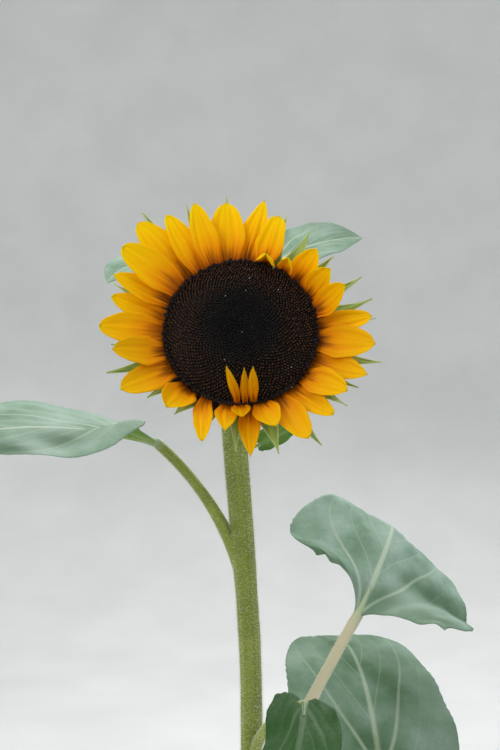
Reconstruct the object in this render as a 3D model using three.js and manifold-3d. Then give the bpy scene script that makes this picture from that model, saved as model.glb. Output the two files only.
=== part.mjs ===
// A single-stemmed sunflower plant in full flower, rooted in level ground.
// Millimetres, +Z up, +X to the right of the bloom and -Y the side that it faces.
// The origin is the centre of the flat cut under the stem, at ground level.
import * as THREE from "three";
import { mergeVertices } from "three/addons/utils/BufferGeometryUtils.js";
import Module from "manifold-3d";

const wasm = await Module();
wasm.setup();

// Bloom
const DISC_CENTRE = new THREE.Vector3(-5.7, -53, 799);
const HEAD_TILT = 20; // degrees that the bloom looks up
const DISC_RADIUS = 37.5;
const DISC_WALL = 3.2; // height of the outer florets' upright edge
const DISC_RISE = 9; // dome above that edge
const DISC_DIMPLE = 1.6; // depth of the hollow at the very middle
const DISC_FLOOR = -2;
const RECEPTACLE_RADIUS = 37;
const RECEPTACLE_DEPTH = 20;
const RAY_THICKNESS = 0.7;
const RAY_LAYER = 1.15; // height between two whorls of rays
const RAY_CLAW = 0.6; // width at a ray's foot, as a share of its full width
const RAY_FOOT_CUP = 0.4; // share of its roll that a ray has at its foot
const RAY_TIP = 0.13; // least width towards the tip, as a share of the full width
const RAY_SHOULDER = 0.35; // share of a ray's length from which it narrows
const BRACT_FOOT = 29; // distance of the bracts' feet from the head's axis
const BRACT_LEVEL = -6.4; // height of the inner bracts' feet
const BRACT_STEP = 1.6; // how much lower the outer bracts start
const BRACT_TIP = 0.04;
const BRACT_THICKNESS = 0.8;

// Stem and foliage
const GAP = 0.3; // between pieces that meet
const SLIVER = 0.02; // detail finer than this is left out of a cut or joined solid
const SEAT = 0.4; // room cut round a blade's foot for its slanting midrib
const NECK_START = 742; // height at which the straight stem passes into the bent neck
const ROOT_FLARE = 3.2; // added to the stem's radius at the ground
const FLARE_HEIGHT = 22;
const UNDERGROUND = 12; // length drawn below the flat cut and trimmed off
const LEAF_THICKNESS = 1.8;
const MIDRIB_DEPTH = 2.4; // how far the midrib stands out under a leaf
const LEAF_ROWS = 12;
const LEAF_FULLNESS = 1.22;
const LEAF_TIP = 0.045; // least half width towards the tip, as a share of the full one
const EAR_SWEEP = 0.72 * Math.PI; // how far round the foot an ear bulges back
const RIPPLE = 9.5; // radians of the margin's wave along a leaf
const WAIST_AT = 0.4; // share of the leaf's length where it's narrowed
const WAIST_SPAN = 0.13;
const LEAF_COLUMNS = [-1, -0.7, -0.38, -0.12, 0, 0.12, 0.38, 0.7, 1];
const TOOTH = 0.035; // share of a leaf's half width
const STALK_STEPS = 10; // straight steps along a leaf's stalk
const WALK_STEPS = 24; // straight steps along the middle of a ray or a leaf

const COLOURS = {
  stem: 0x93a050,
  petiole: 0xa3ad5c,
  leaf: 0x8fb596,
  bracts: 0x7fa33c,
  disc: 0x1d1310,
  ray: 0xf7ab0a,
};

// Ray florets, each seen from the front: where it stands round the disc and which way it leans, in degrees
// anticlockwise from the right, its length and width, how far it lifts out of the disc's plane and curls on
// towards the tip, its roll across, the bluntness of its tip and its whorl, 0 being the hindmost.
const RAYS = [
  { at: 99.5, lean: -9, long: 31, wide: 19.5, lift: 20, curl: -6, cup: 24, blunt: 0.42, whorl: 1 },
  { at: 85.5, lean: -14, long: 34, wide: 13.5, lift: 20, curl: -4, cup: 20, blunt: 0.7, whorl: 0 },
  { at: 73, lean: -3, long: 26, wide: 14.5, lift: 21, curl: -2, cup: 20, blunt: 0.3, whorl: 1.5 },
  { at: 70.5, lean: 0, long: 12.5, wide: 14, lift: 74, curl: 44, cup: 115, blunt: 0.3, whorl: 3 },
  { at: 55, lean: 0, long: 14, wide: 11.5, lift: 62, curl: 40, cup: 105, blunt: 0.35, whorl: 2.6 },
  { at: 45, lean: 6, long: 21, wide: 15, lift: 32, curl: 14, cup: 50, blunt: 0.4, whorl: 0 },
  { at: 30, lean: 8, long: 21, wide: 16, lift: 37, curl: 30, cup: 54, blunt: 0.4, whorl: 1 },
  { at: 16, lean: 11, long: 23, wide: 15, lift: 37, curl: 26, cup: 50, blunt: 0.45, whorl: 3.1 },
  { at: 5, lean: 1, long: 27.5, wide: 12.5, lift: 18, curl: -2, cup: 18, blunt: 0.4, whorl: 0 },
  { at: -7, lean: -4, long: 29, wide: 18.5, lift: 20, curl: -3, cup: 24, blunt: 0.45, whorl: 1 },
  { at: -21.5, lean: -2, long: 29, wide: 14, lift: 18, curl: 0, cup: 18, blunt: 0.6, whorl: 0 },
  { at: -36, lean: 5, long: 26, wide: 16, lift: 26, curl: 4, cup: 30, blunt: 0.45, whorl: 1 },
  { at: -49, lean: 9, long: 28, wide: 11.5, lift: 21, curl: 4, cup: 26, blunt: 0.45, whorl: 0 },
  { at: -62, lean: 2, long: 30, wide: 15.5, lift: 25, curl: -4, cup: 28, blunt: 0.4, whorl: 1 },
  { at: -74.5, lean: 9, long: 20, wide: 14, lift: 33, curl: 4, cup: 38, blunt: 0.45, whorl: 2 },
  { at: -84.5, lean: -3, long: 26.5, wide: 11, lift: 12, curl: -8, cup: 26, blunt: 0.8, whorl: 0 },
  { at: -99, lean: 6, long: 17.5, wide: 11.5, lift: 32, curl: -4, cup: 34, blunt: 0.6, whorl: 1 },
  { at: -115, lean: 25, long: 27, wide: 10, lift: 28, curl: -10, cup: 36, blunt: 0.5, whorl: 1 },
  { at: -131, lean: 8, long: 21, wide: 17.5, lift: 34, curl: 10, cup: 44, blunt: 0.34, whorl: 0 },
  { at: -150, lean: 2, long: 29.5, wide: 16, lift: 22, curl: 0, cup: 26, blunt: 0.4, whorl: 1 },
  { at: -164, lean: -8, long: 27.5, wide: 16, lift: 25, curl: 6, cup: 34, blunt: 0.42, whorl: 2 },
  { at: 180, lean: 2, long: 32.5, wide: 18.5, lift: 20, curl: -2, cup: 24, blunt: 0.45, whorl: 1 },
  { at: 167.5, lean: -5, long: 29.5, wide: 13.5, lift: 18, curl: 0, cup: 22, blunt: 0.55, whorl: 0 },
  { at: 155, lean: 6, long: 31.5, wide: 13.5, lift: 21, curl: -1, cup: 26, blunt: 0.55, whorl: 1.4 },
  { at: 143.5, lean: 7, long: 35.5, wide: 19, lift: 27, curl: -6, cup: 22, blunt: 0.42, whorl: 2.6 },
  { at: 132, lean: 2, long: 39.5, wide: 19, lift: 18, curl: -4, cup: 20, blunt: 0.42, whorl: 0 },
  { at: 121, lean: 3, long: 34.5, wide: 14.5, lift: 20, curl: -4, cup: 20, blunt: 0.55, whorl: 1.15 },
  { at: 111, lean: -3, long: 33, wide: 14, lift: 24, curl: -6, cup: 24, blunt: 0.5, whorl: 2.2 },
  { at: -92.3, lean: 30, long: 24, wide: 4.6, lift: 120, curl: 4, cup: 30, blunt: 0.9, whorl: 4.4 },
  { at: -86.4, lean: -2, long: 18, wide: 4.4, lift: 130, curl: 4, cup: 24, blunt: 0.7, whorl: 4.4 },
  { at: -80.2, lean: -9, long: 23, wide: 5.3, lift: 115, curl: 2, cup: 30, blunt: 0.75, whorl: 4.4 },
  { at: -89.5, lean: 4, long: 12, wide: 9.5, lift: 38, curl: 14, cup: 40, blunt: 0.35, whorl: 2.7 },
];

// Bracts round the back of the head: where each stands, its length, its width and its lift out of the disc's
// plane, every other one standing a little lower.
const BRACTS = [
  [-174.5, 36, 13, 10], [-162, 42, 14, 12], [-143.5, 28, 14, 10], [-127, 26, 20, 16],
  [-109, 23.5, 14, 10], [-92, 32.5, 12, 8], [-73.5, 36, 16, 8], [-56, 42.5, 15, 10],
  [-38, 38, 14, 18], [-27, 37.5, 13, 14], [-13.5, 43, 14, 12], [6, 41, 13, 14],
  [14, 40, 15, 16], [25, 41, 15, 18], [39.5, 34.5, 17, 24], [57, 39, 18, 20],
  [69, 39.5, 17, 20], [80, 43.5, 15, 20], [96, 45.5, 15, 20], [112.5, 48, 15, 20],
  [129, 53.5, 15, 18], [144, 45.5, 14, 16], [158.5, 41, 14, 14], [173.5, 38, 14, 12],
].map(([at, long, wide, lift]) => ({ at, long, wide, lift }));

// Leaves from the ground up. Headings are in degrees, anticlockwise from +X seen from above. The stalk, whose
// radius is limb at its foot, leaves the stem at height from, rising at rise[0] and ending at rise[1]. The blade
// runs from turn[0] to turn[1] as seen from above and from pitch[0] to pitch[1] above the level, the more suddenly
// the higher its hook. It rolls its right side down by roll, with a further twist towards the tip. It holds each
// half up by fold[right, left] at its foot, easing to spread[right, left] within the share ease of its length.
// lobe is how far its ears reach back[right, left], as a share of its length. shoulder is the breadth of its foot
// on each side, 0 for a wedge and 0.6 for a heart, waist how much its middle is narrowed, and wave lifts and drops
// the margin.
const HABIT = { hook: 1.3, shoulder: [0.62, 0.62], waist: [0, 0], ease: 0.3, twist: 0 };
const LEAVES = [
  {
    name: "lowest", limb: 3.1, from: 150, heading: 342, stalk: 74, rise: [40, 12], long: 105, wide: 78,
    turn: [342, 350], pitch: [-4, -52], roll: 0, fold: [14, 14], spread: [-8, -6], lobe: [0.14, 0.14],
    wave: 4,
  },
  {
    name: "low_left", limb: 4.1, from: 215, heading: 205, stalk: 100, rise: [42, 14], long: 140,
    wide: 112, turn: [205, 195], pitch: [2, -50], roll: 4, fold: [18, 16], spread: [-6, -8],
    lobe: [0.15, 0.15], wave: 5,
  },
  {
    name: "low_back", limb: 4.7, from: 282, heading: 90, stalk: 115, rise: [44, 18], long: 160, wide: 130,
    turn: [90, 98], pitch: [6, -48], roll: -4, fold: [16, 18], spread: [-6, -6], lobe: [0.16, 0.16],
    wave: 6,
  },
  {
    name: "middle_front", limb: 4.85, from: 345, heading: 268, stalk: 112, rise: [44, 12], long: 165,
    wide: 134, turn: [268, 260], pitch: [2, -54], roll: 5, fold: [16, 16], spread: [-8, -4],
    lobe: [0.16, 0.16], wave: 6,
  },
  {
    name: "middle_left", limb: 4.7, from: 390, heading: 158, stalk: 112, rise: [44, 16], long: 160,
    wide: 128, turn: [158, 168], pitch: [4, -52], roll: -6, fold: [16, 16], spread: [-6, -6],
    lobe: [0.14, 0.14], wave: 6,
  },
  {
    name: "broad_right", limb: 4.85, from: 432, heading: 41, stalk: 140, rise: [52, 34], long: 165,
    wide: 112, turn: [92, 112], pitch: [48, -44], hook: 2, roll: 4, fold: [12, 12], spread: [-4, -4],
    lobe: [0.08, 0.08], wave: 5,
  },
  {
    name: "high_right", limb: 4.7, from: 534, heading: 37, stalk: 124, rise: [58, 48], long: 118,
    wide: 125, turn: [40, 102], pitch: [52, -53], hook: 1.9, roll: 36, fold: [40, 30], spread: [-17, -24],
    lobe: [-0.04, -0.17], shoulder: [0.8, 0.54], wave: 5,
  },
  {
    name: "front_right", limb: 3.1, from: 572, heading: 293, stalk: 76, rise: [54, 16], long: 104,
    wide: 42, turn: [266, 255], pitch: [0, -82], hook: 2.4, roll: 14, fold: [12, 10], spread: [-20, -19],
    lobe: [0.18, 0.06], shoulder: [0.62, 0.3], wave: 3,
  },
  {
    name: "upper_left", limb: 4.15, from: 674, heading: 184, stalk: 79, rise: [71, 41], long: 147,
    wide: 92, turn: [206, 231], pitch: [13.5, -24], hook: 1.5, roll: -23, fold: [-18, 61],
    spread: [-7, -6], lobe: [-0.03, -0.13], shoulder: [0.85, 0.58], waist: [-0.18, 0.06], wave: 1,
    ease: 0.49, twist: 13.5,
  },
  {
    name: "behind_left", limb: 2.1, from: 700, heading: 112, stalk: 134, rise: [72, 60], long: 70,
    wide: 58.5, turn: [183, 228], pitch: [33.5, -57], hook: 2.1, roll: -23, fold: [10, 10],
    spread: [-12, -10], lobe: [0.08, 0.08], shoulder: [0.5, 0.59], wave: 2,
  },
  {
    name: "behind_right", limb: 1.8, from: 716, heading: 74, stalk: 131.5, rise: [72, 64], long: 60.5,
    wide: 58.5, turn: [-14, 1], pitch: [33.5, -1], hook: 1.1, roll: 37.5, fold: [10, 10], spread: [19, 6],
    lobe: [0.06, 0.06], shoulder: [0.56, 0.31], wave: 2,
  },
  {
    name: "neck_right", limb: 1.1, from: 735, heading: 10, stalk: 8, rise: [30, 26], long: 27, wide: 19,
    turn: [8, 20], pitch: [26, 22], roll: -46, fold: [16, 16], spread: [4, 0], lobe: [0.06, 0.06],
    wave: 1,
  },
].map((leaf) => ({ ...HABIT, ...leaf }));

const radians = THREE.MathUtils.degToRad;
const mix = THREE.MathUtils.lerp;

function direction(heading, elevation) {
  return new THREE.Vector3(
    Math.cos(elevation) * Math.cos(heading),
    Math.cos(elevation) * Math.sin(heading),
    Math.sin(elevation),
  );
}

/** The line that leaves start along ahead(share of its length), as a function of that share. */
function walked(start, ahead, length) {
  const line = [start];
  for (let n = 0; n < WALK_STEPS; n++) {
    line.push(line[n].clone().addScaledVector(ahead((n + 0.5) / WALK_STEPS), length / WALK_STEPS));
  }
  return (along) => {
    const place = Math.min(WALK_STEPS - 1, Math.floor(along * WALK_STEPS));
    return line[place].clone().lerp(line[place + 1], along * WALK_STEPS - place);
  };
}

// Closed shapes

/** Welds a geometry's vertices and turns its faces outwards, ready to be a solid. */
function welded(geometry) {
  const bare = geometry.index ? geometry : mergeVertices(geometry);
  bare.deleteAttribute("normal");
  bare.deleteAttribute("uv");
  const merged = mergeVertices(bare, 1e-4);
  const index = merged.index.array;
  const at = (n) => new THREE.Vector3().fromBufferAttribute(merged.attributes.position, n);
  const kept = [];
  let volume = 0;
  for (let n = 0; n < index.length; n += 3) {
    const [a, b, c] = [index[n], index[n + 1], index[n + 2]];
    if (a === b || b === c || c === a) continue;
    kept.push(a, b, c);
    volume += at(a).dot(at(b).cross(at(c)));
  }
  if (volume < 0) kept.reverse();
  merged.setIndex(kept);
  return merged;
}

/** Moves every vertex of a geometry to place(vertex). */
function reshaped(geometry, place) {
  const position = geometry.attributes.position;
  const vertex = new THREE.Vector3();
  for (let n = 0; n < position.count; n++) {
    const moved = place(vertex.fromBufferAttribute(position, n));
    position.setXYZ(n, moved.x, moved.y, moved.z);
  }
  return welded(geometry);
}

/** Splits the squares of a box's underside the same way as those above them, so a warped blade stays whole. */
function matchDiagonals(box) {
  const under = box.groups[5];
  for (let n = under.start; n < under.start + under.count; n += 6) {
    const [a, b, d, , c] = box.index.array.slice(n, n + 6);
    box.index.array.set([a, b, c, a, c, d], n);
  }
}

/** A thin closed blade over surface(across, along), with across from -1 to 1 and along from 0 to 1. */
function blade(rows, columns, surface, thickness) {
  const box = new THREE.BoxGeometry(2, 1, 1, columns.length - 1, rows, 1);
  matchDiagonals(box);
  const step = 1e-3;
  return reshaped(box, (v) => {
    const across = columns[Math.round(((v.x + 1) / 2) * (columns.length - 1))];
    const along = v.y + 0.5;
    const t = THREE.MathUtils.clamp(across, step - 1, 1 - step);
    const s = THREE.MathUtils.clamp(along, step, 1 - step);
    const sideways = surface(t + step, s).sub(surface(t - step, s));
    const onwards = surface(t, s + step).sub(surface(t, s - step));
    const up = sideways.cross(onwards).normalize();
    return surface(across, along).addScaledVector(up, thickness(across, along, v.z));
  });
}

/** A round limb along a curve, with radius(share of its length) and flat ends. */
function limb(curve, radius, rings, sides) {
  const profile = [new THREE.Vector2(0, 0)];
  for (let n = 0; n <= rings; n++) profile.push(new THREE.Vector2(1, n / rings));
  profile.push(new THREE.Vector2(0, 1));
  const frames = curve.computeFrenetFrames(rings, false);
  const lathe = new THREE.LatheGeometry(profile, sides);
  return reshaped(lathe, (v) => {
    const ring = Math.round(v.y * rings);
    const size = radius(v.y);
    return curve
      .getPointAt(v.y)
      .addScaledVector(frames.normals[ring], v.x * size)
      .addScaledVector(frames.binormals[ring], v.z * size);
  });
}

function toSolid(geometry) {
  return new wasm.Manifold(
    new wasm.Mesh({
      numProp: 3,
      vertProperties: new Float32Array(geometry.attributes.position.array),
      triVerts: new Uint32Array(geometry.index.array),
    }),
  );
}

function toGeometry(solid) {
  const mesh = solid.asOriginal().simplify(SLIVER).getMesh();
  const geometry = new THREE.BufferGeometry();
  geometry.setAttribute("position", new THREE.BufferAttribute(mesh.vertProperties, 3));
  geometry.setIndex(new THREE.BufferAttribute(mesh.triVerts, 1));
  return geometry;
}

function named(name, geometry, colour, roughness) {
  const material = new THREE.MeshStandardMaterial({ color: colour, roughness, metalness: 0 });
  const mesh = new THREE.Mesh(geometry, material);
  mesh.name = name;
  return mesh;
}

// Stem and neck

// Centre of the stem at each height: upright below, leaning to the left where the upper leaf parts from it.
const STEM_LINE = new THREE.CatmullRomCurve3(
  [
    [-0.2, -0.2, -UNDERGROUND],
    [0, 0, 0],
    [2, 2, 130],
    [3, 4, 280],
    [-1, 4, 430],
    [0, 0, 560],
    [-1, -2, 628],
    [-4.6, -4, 683],
    [-9.3, -5, NECK_START],
  ].map(([x, y, z]) => new THREE.Vector3(x, y, z)),
);

function stemRadius(height) {
  const share = height / NECK_START;
  const flare = ROOT_FLARE * Math.exp(-Math.max(0, height) / FLARE_HEIGHT);
  const taper = mix(8, 5.9, THREE.MathUtils.smoothstep(share, 0, 0.8));
  const peduncle = 0.75 * THREE.MathUtils.smoothstep(share, 0.84, 1);
  return taper + peduncle + flare;
}

/** The stem, cut flat at ground level, or the space that it takes up with extra room round it. */
function stemSolid(extra) {
  const radius = (share) => stemRadius(share * (NECK_START + UNDERGROUND) - UNDERGROUND) + extra;
  return toSolid(limb(STEM_LINE, radius, 23, 12)).trimByPlane([0, 0, 1], 0);
}

const CLOSER = 6; // times that a guess at a place on the stem is bettered

/** The point of the stem's centre line at a height. */
function stemAt(height) {
  const full = NECK_START + UNDERGROUND;
  let share = (height + UNDERGROUND) / full;
  for (let n = 0; n < CLOSER; n++) share += (height - STEM_LINE.getPointAt(share).z) / full;
  return STEM_LINE.getPointAt(share);
}

const HEAD_NORMAL = new THREE.Vector3(0, -Math.cos(radians(HEAD_TILT)), Math.sin(radians(HEAD_TILT)));

function neckGeometry() {
  const foot = STEM_LINE.getPointAt(1);
  const onwards = STEM_LINE.getTangentAt(1);
  const back = DISC_CENTRE.clone().addScaledVector(HEAD_NORMAL, -(RECEPTACLE_DEPTH + GAP));
  const curve = new THREE.CubicBezierCurve3(
    foot.clone().addScaledVector(onwards, GAP),
    foot.clone().addScaledVector(onwards, 34),
    back.clone().addScaledVector(HEAD_NORMAL, -20),
    back,
  );
  return limb(curve, (share) => mix(6.65, 9, share ** 2.2), 10, 12);
}

// Bloom, in the head's own frame: +X right, +Y up the disc and +Z the way that the bloom looks

function discGeometry() {
  const profile = [new THREE.Vector2(0, DISC_FLOOR), new THREE.Vector2(DISC_RADIUS, DISC_FLOOR)];
  const rings = 7;
  for (let n = 0; n <= rings; n++) {
    const out = 1 - n / rings;
    const dome = DISC_RISE * (1 - out ** 2.4);
    const hollow = DISC_DIMPLE * Math.exp(-((out / 0.28) ** 2));
    profile.push(new THREE.Vector2(DISC_RADIUS * out, DISC_WALL + dome - hollow));
  }
  const lathe = new THREE.LatheGeometry(profile, 40);
  lathe.rotateX(Math.PI / 2);
  return welded(lathe);
}

function bractSurface(bract, index) {
  const outer = index % 2; // every other bract stands in the outer row
  const sway = 0.12 * Math.sin(index * 2.4);
  const foot = new THREE.Vector3(BRACT_FOOT - outer, 0, BRACT_LEVEL - BRACT_STEP * outer);
  const lift = radians(bract.lift);
  return (across, along) => {
    const swell = Math.sin(Math.PI * Math.min(1, 0.24 + 0.76 * along)) ** 0.8;
    const half = (bract.wide / 2) * Math.max(BRACT_TIP, swell * (1 - 0.78 * along));
    const out = bract.long * along;
    const local = new THREE.Vector3(
      foot.x + out * Math.cos(lift),
      across * half + sway * out * along * (1 - along),
      foot.z + out * Math.sin(lift) * along ** 0.5 + 0.16 * half * across * across,
    );
    return local.applyAxisAngle(new THREE.Vector3(0, 0, 1), radians(bract.at));
  };
}

function receptacleGeometry() {
  const profile = [
    [0, -RECEPTACLE_DEPTH],
    [9, -RECEPTACLE_DEPTH],
    [16, -17.6],
    [26, -13],
    [34, -7.4],
    [RECEPTACLE_RADIUS, DISC_FLOOR - 1.4],
    [RECEPTACLE_RADIUS, DISC_FLOOR - GAP],
    [0, DISC_FLOOR - GAP],
  ].map(([x, y]) => new THREE.Vector2(x, y));
  const cup = new THREE.LatheGeometry(profile, 36);
  cup.rotateX(Math.PI / 2);
  let solid = toSolid(welded(cup));
  const thickness = (across, along, side) => side * BRACT_THICKNESS * mix(1.6, 0.8, along);
  BRACTS.forEach((bract, index) => {
    solid = solid.add(toSolid(blade(5, [-1, 0, 1], bractSurface(bract, index), thickness)));
  });
  return toGeometry(solid);
}

/** How far a strip that is bent through an angle on each side stands above its middle, at across. */
function arch(half, bend, across) {
  return (half * (1 - Math.cos(bend * across))) / bend;
}

function raySurface(ray) {
  const footEdge = arch((ray.wide / 2) * RAY_CLAW, radians(ray.cup) * RAY_FOOT_CUP, 1) + RAY_THICKNESS / 2;
  const clear = DISC_RADIUS + GAP + footEdge * Math.sin(radians(ray.lift));
  const foot = new THREE.Vector3(clear, 0, (ray.whorl - 0.9) * RAY_LAYER);
  foot.applyAxisAngle(new THREE.Vector3(0, 0, 1), radians(ray.at));
  const heading = (along) => radians(ray.at + ray.lean * Math.min(1, along * 3));
  const ahead = (along) => direction(heading(along), radians(ray.lift + ray.curl * along));
  const line = walked(foot, ahead, ray.long);
  return (across, share) => {
    const along = 1 - (1 - share) ** 1.5; // closer rows towards the rounded tip
    const right = new THREE.Vector3(Math.sin(heading(along)), -Math.cos(heading(along)), 0);
    const up = right.clone().cross(ahead(along));
    const claw = mix(RAY_CLAW, 1, THREE.MathUtils.smoothstep(along, 0, 0.4));
    const narrowing = Math.max(0, (along - RAY_SHOULDER) / (1 - RAY_SHOULDER));
    const half = (ray.wide / 2) * claw * Math.max(RAY_TIP, Math.cos((Math.PI / 2) * narrowing) ** ray.blunt);
    const bend = radians(ray.cup) * mix(RAY_FOOT_CUP, 1, along);
    return line(along)
      .addScaledVector(right, (half * Math.sin(bend * across)) / bend)
      .addScaledVector(up, arch(half, bend, across));
  };
}

function rayGeometry(ray) {
  const thickness = (across, along, side) => side * RAY_THICKNESS * (1 - 0.4 * along ** 4);
  return blade(6, [-1, -0.5, 0, 0.5, 1], raySurface(ray), thickness);
}

// Leaves

/** The leaf stalk's centre line, from the middle of the stem to the foot of the blade. */
function stalkLine(leaf) {
  const way = radians(leaf.heading);
  const inside = stemRadius(leaf.from) / 2;
  const hidden = inside / Math.cos(radians(leaf.rise[0]));
  const reach = hidden + inside + leaf.stalk;
  const start = stemAt(leaf.from - inside * Math.tan(radians(leaf.rise[0])));
  const line = [start];
  for (let n = 0; n < STALK_STEPS; n++) {
    const grown = Math.max(0, (((n + 0.5) / STALK_STEPS) * reach - hidden) / (reach - hidden));
    const ahead = direction(way, radians(mix(leaf.rise[0], leaf.rise[1], grown)));
    line.push(line[n].clone().addScaledVector(ahead, reach / STALK_STEPS));
  }
  return new THREE.CatmullRomCurve3(line);
}

/** Radius of a leaf's stalk at a share of its length: tapered inside the stem, swollen where it leaves it. */
function stalkRadius(leaf, share) {
  const taper = leaf.limb * mix(1, 0.66, Math.min(1, share * 1.5));
  return (taper + 0.9 * Math.exp(-share * 9)) * mix(0.5, 1, THREE.MathUtils.smoothstep(share, 0, 0.12));
}

function stalkGeometry(leaf, spaces) {
  let solid = toSolid(limb(stalkLine(leaf), (share) => stalkRadius(leaf, share), 9, 8));
  for (const space of spaces) solid = solid.subtract(space);
  const pieces = solid.decompose().sort((a, b) => b.volume() - a.volume());
  return toGeometry(pieces[0]);
}

function leafSurface(leaf, extra) {
  const heading = (along) => radians(mix(leaf.turn[0], leaf.turn[1], along));
  const elevation = (along) => radians(mix(leaf.pitch[0], leaf.pitch[1], along ** leaf.hook));
  const ahead = (along) => direction(heading(along), elevation(along));
  const line = walked(stalkLine(leaf).getPointAt(1), ahead, leaf.long);
  return (across, along) => {
    const forward = ahead(along);
    const level = new THREE.Vector3(Math.sin(heading(along)), -Math.cos(heading(along)), 0);
    const right = level.applyAxisAngle(forward, radians(leaf.roll + leaf.twist * along));
    const up = right.clone().cross(forward);
    const out = Math.abs(across);
    const side = across < 0 ? 1 : 0;
    const breadth = leaf.shoulder[side] + (3 - 2 * leaf.shoulder[side]) * along;
    const narrowed = 1 - leaf.waist[side] * Math.exp(-(((along - WAIST_AT) / WAIST_SPAN) ** 2));
    const outline = LEAF_FULLNESS * Math.max(LEAF_TIP, (1 - along) ** 1.02 * breadth) * narrowed;
    const tooth = Math.round(along * LEAF_ROWS) % 2 ? TOOTH : -TOOTH;
    const half = (leaf.wide / 2) * outline * (1 + (out > 0.9 ? tooth : 0));
    const hold = mix(leaf.fold[side], leaf.spread[side], THREE.MathUtils.smoothstep(along, 0, leaf.ease));
    const tilt = radians(hold * (1 - 0.4 * out) * (1 - along ** 3));
    const sinus = Math.max(0, (out - 0.07) / 0.93) ** 0.7;
    const lobe = leaf.lobe[side] * leaf.long * Math.sin(EAR_SWEEP * sinus) * (1 - along) ** 4;
    const ripple = leaf.wave * out ** 2 * Math.sin(RIPPLE * along + (side ? 1.2 : 3.4) + leaf.heading);
    return line(along)
      .addScaledVector(right, half * across * Math.cos(tilt))
      .addScaledVector(up, half * out * Math.sin(tilt) + ripple * (1 - along))
      .addScaledVector(forward, -lobe - (along === 0 ? extra : 0));
  };
}

function leafGeometry(leaf, extra) {
  const thickness = (across, along, side) => {
    const rib = side < 0 && across === 0 ? MIDRIB_DEPTH * (1 - along) : 0;
    return side * (LEAF_THICKNESS * (1 - 0.3 * along ** 4) + 2 * extra) - rib;
  };
  return blade(LEAF_ROWS, LEAF_COLUMNS, leafSurface(leaf, extra), thickness);
}

// The plant

function bloom() {
  const head = new THREE.Group();
  head.position.copy(DISC_CENTRE);
  head.rotation.x = radians(90 - HEAD_TILT);
  head.add(named("receptacle", receptacleGeometry(), COLOURS.bracts, 0.7));
  head.add(named("disc", discGeometry(), COLOURS.disc, 0.85));
  RAYS.forEach((ray, n) => {
    const name = `ray_${String(n + 1).padStart(2, "0")}`;
    head.add(named(name, rayGeometry(ray), COLOURS.ray, 0.55));
  });
  return head;
}

function foliage() {
  const stemSpace = stemSolid(GAP);
  const leaves = new THREE.Group();
  for (const leaf of LEAVES) {
    const leafSpace = toSolid(leafGeometry(leaf, SEAT));
    const stalk = stalkGeometry(leaf, [stemSpace, leafSpace]);
    leaves.add(named(`stalk_${leaf.name}`, stalk, COLOURS.petiole, 0.7));
    leaves.add(named(`leaf_${leaf.name}`, leafGeometry(leaf, 0), COLOURS.leaf, 0.7));
  }
  return leaves;
}

const plant = new THREE.Group();
plant.add(named("stem", toGeometry(stemSolid(0)), COLOURS.stem, 0.75));
plant.add(named("neck", neckGeometry(), COLOURS.stem, 0.75));
plant.add(bloom());
plant.add(foliage());

export default plant;
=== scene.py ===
import math
from functools import partial

import bpy
import numpy as np
from mathutils import Matrix, Vector


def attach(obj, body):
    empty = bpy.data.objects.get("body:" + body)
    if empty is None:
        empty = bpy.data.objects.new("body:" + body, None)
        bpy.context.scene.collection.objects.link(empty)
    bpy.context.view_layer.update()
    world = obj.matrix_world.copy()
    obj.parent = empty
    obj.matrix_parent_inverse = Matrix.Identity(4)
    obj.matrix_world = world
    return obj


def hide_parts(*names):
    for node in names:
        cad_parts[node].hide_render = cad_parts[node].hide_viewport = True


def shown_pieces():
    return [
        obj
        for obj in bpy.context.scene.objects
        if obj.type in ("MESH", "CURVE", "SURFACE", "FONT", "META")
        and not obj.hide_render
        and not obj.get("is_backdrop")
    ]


# A single-stemmed sunflower plant in full flower, rooted in level ground. Shapes are worked out in
# millimetres by the same rules as the solids, and become metres where a mesh is made.

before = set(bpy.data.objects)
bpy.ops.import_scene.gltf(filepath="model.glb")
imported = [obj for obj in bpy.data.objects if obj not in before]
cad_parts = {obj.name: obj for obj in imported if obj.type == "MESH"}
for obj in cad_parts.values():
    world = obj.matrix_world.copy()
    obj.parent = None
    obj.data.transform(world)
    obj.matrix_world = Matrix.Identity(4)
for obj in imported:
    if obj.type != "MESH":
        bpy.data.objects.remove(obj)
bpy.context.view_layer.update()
print("frame loaded:", len(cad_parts), "nodes")

mm = 0.001
up = np.array([0.0, 0.0, 1.0])


def srgb(hexColour):
    parts = [int(hexColour[n:n + 2], 16) / 255 for n in (1, 3, 5)]
    linear = [c / 12.92 if c <= 0.04045 else ((c + 0.055) / 1.055) ** 2.4 for c in parts]
    return (*linear, 1.0)


def wire(tree, node, *inputs, **named):
    # feeds the sockets that a node shows, in their order, and then those that are named. Each takes a
    # value, a hex colour, another socket or a node, whose first result it is.
    shown = [socket for socket in node.inputs if socket.enabled]
    pairs = [*zip(shown, inputs), *((node.inputs[name.replace("_", " ")], named[name]) for name in named)]
    for socket, value in pairs:
        if isinstance(value, bpy.types.Node):
            value = next(result for result in value.outputs if result.enabled)
        if isinstance(value, bpy.types.NodeSocket):
            tree.links.new(value, socket)
        else:
            isColour = isinstance(value, str) and value.startswith("#")
            socket.default_value = srgb(value) if isColour else value


def addNode(tree, kind, *inputs, stops=(), **others):
    # a shader node's kind goes without its prefix. Words in small letters are the node's settings.
    node = tree.nodes.new(kind if "Node" in kind else "ShaderNode" + kind)
    for name, value in others.items():
        if name.islower():
            setattr(node, name, value)
    if stops:
        ramp = node.color_ramp.elements
        while len(ramp) < len(stops):
            ramp.new(0.5)
        for element, (position, colour) in zip(ramp, stops):
            element.position, element.color = position, srgb(colour)
    wire(tree, node, *inputs, **{name: others[name] for name in others if not name.islower()})
    return node


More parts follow.
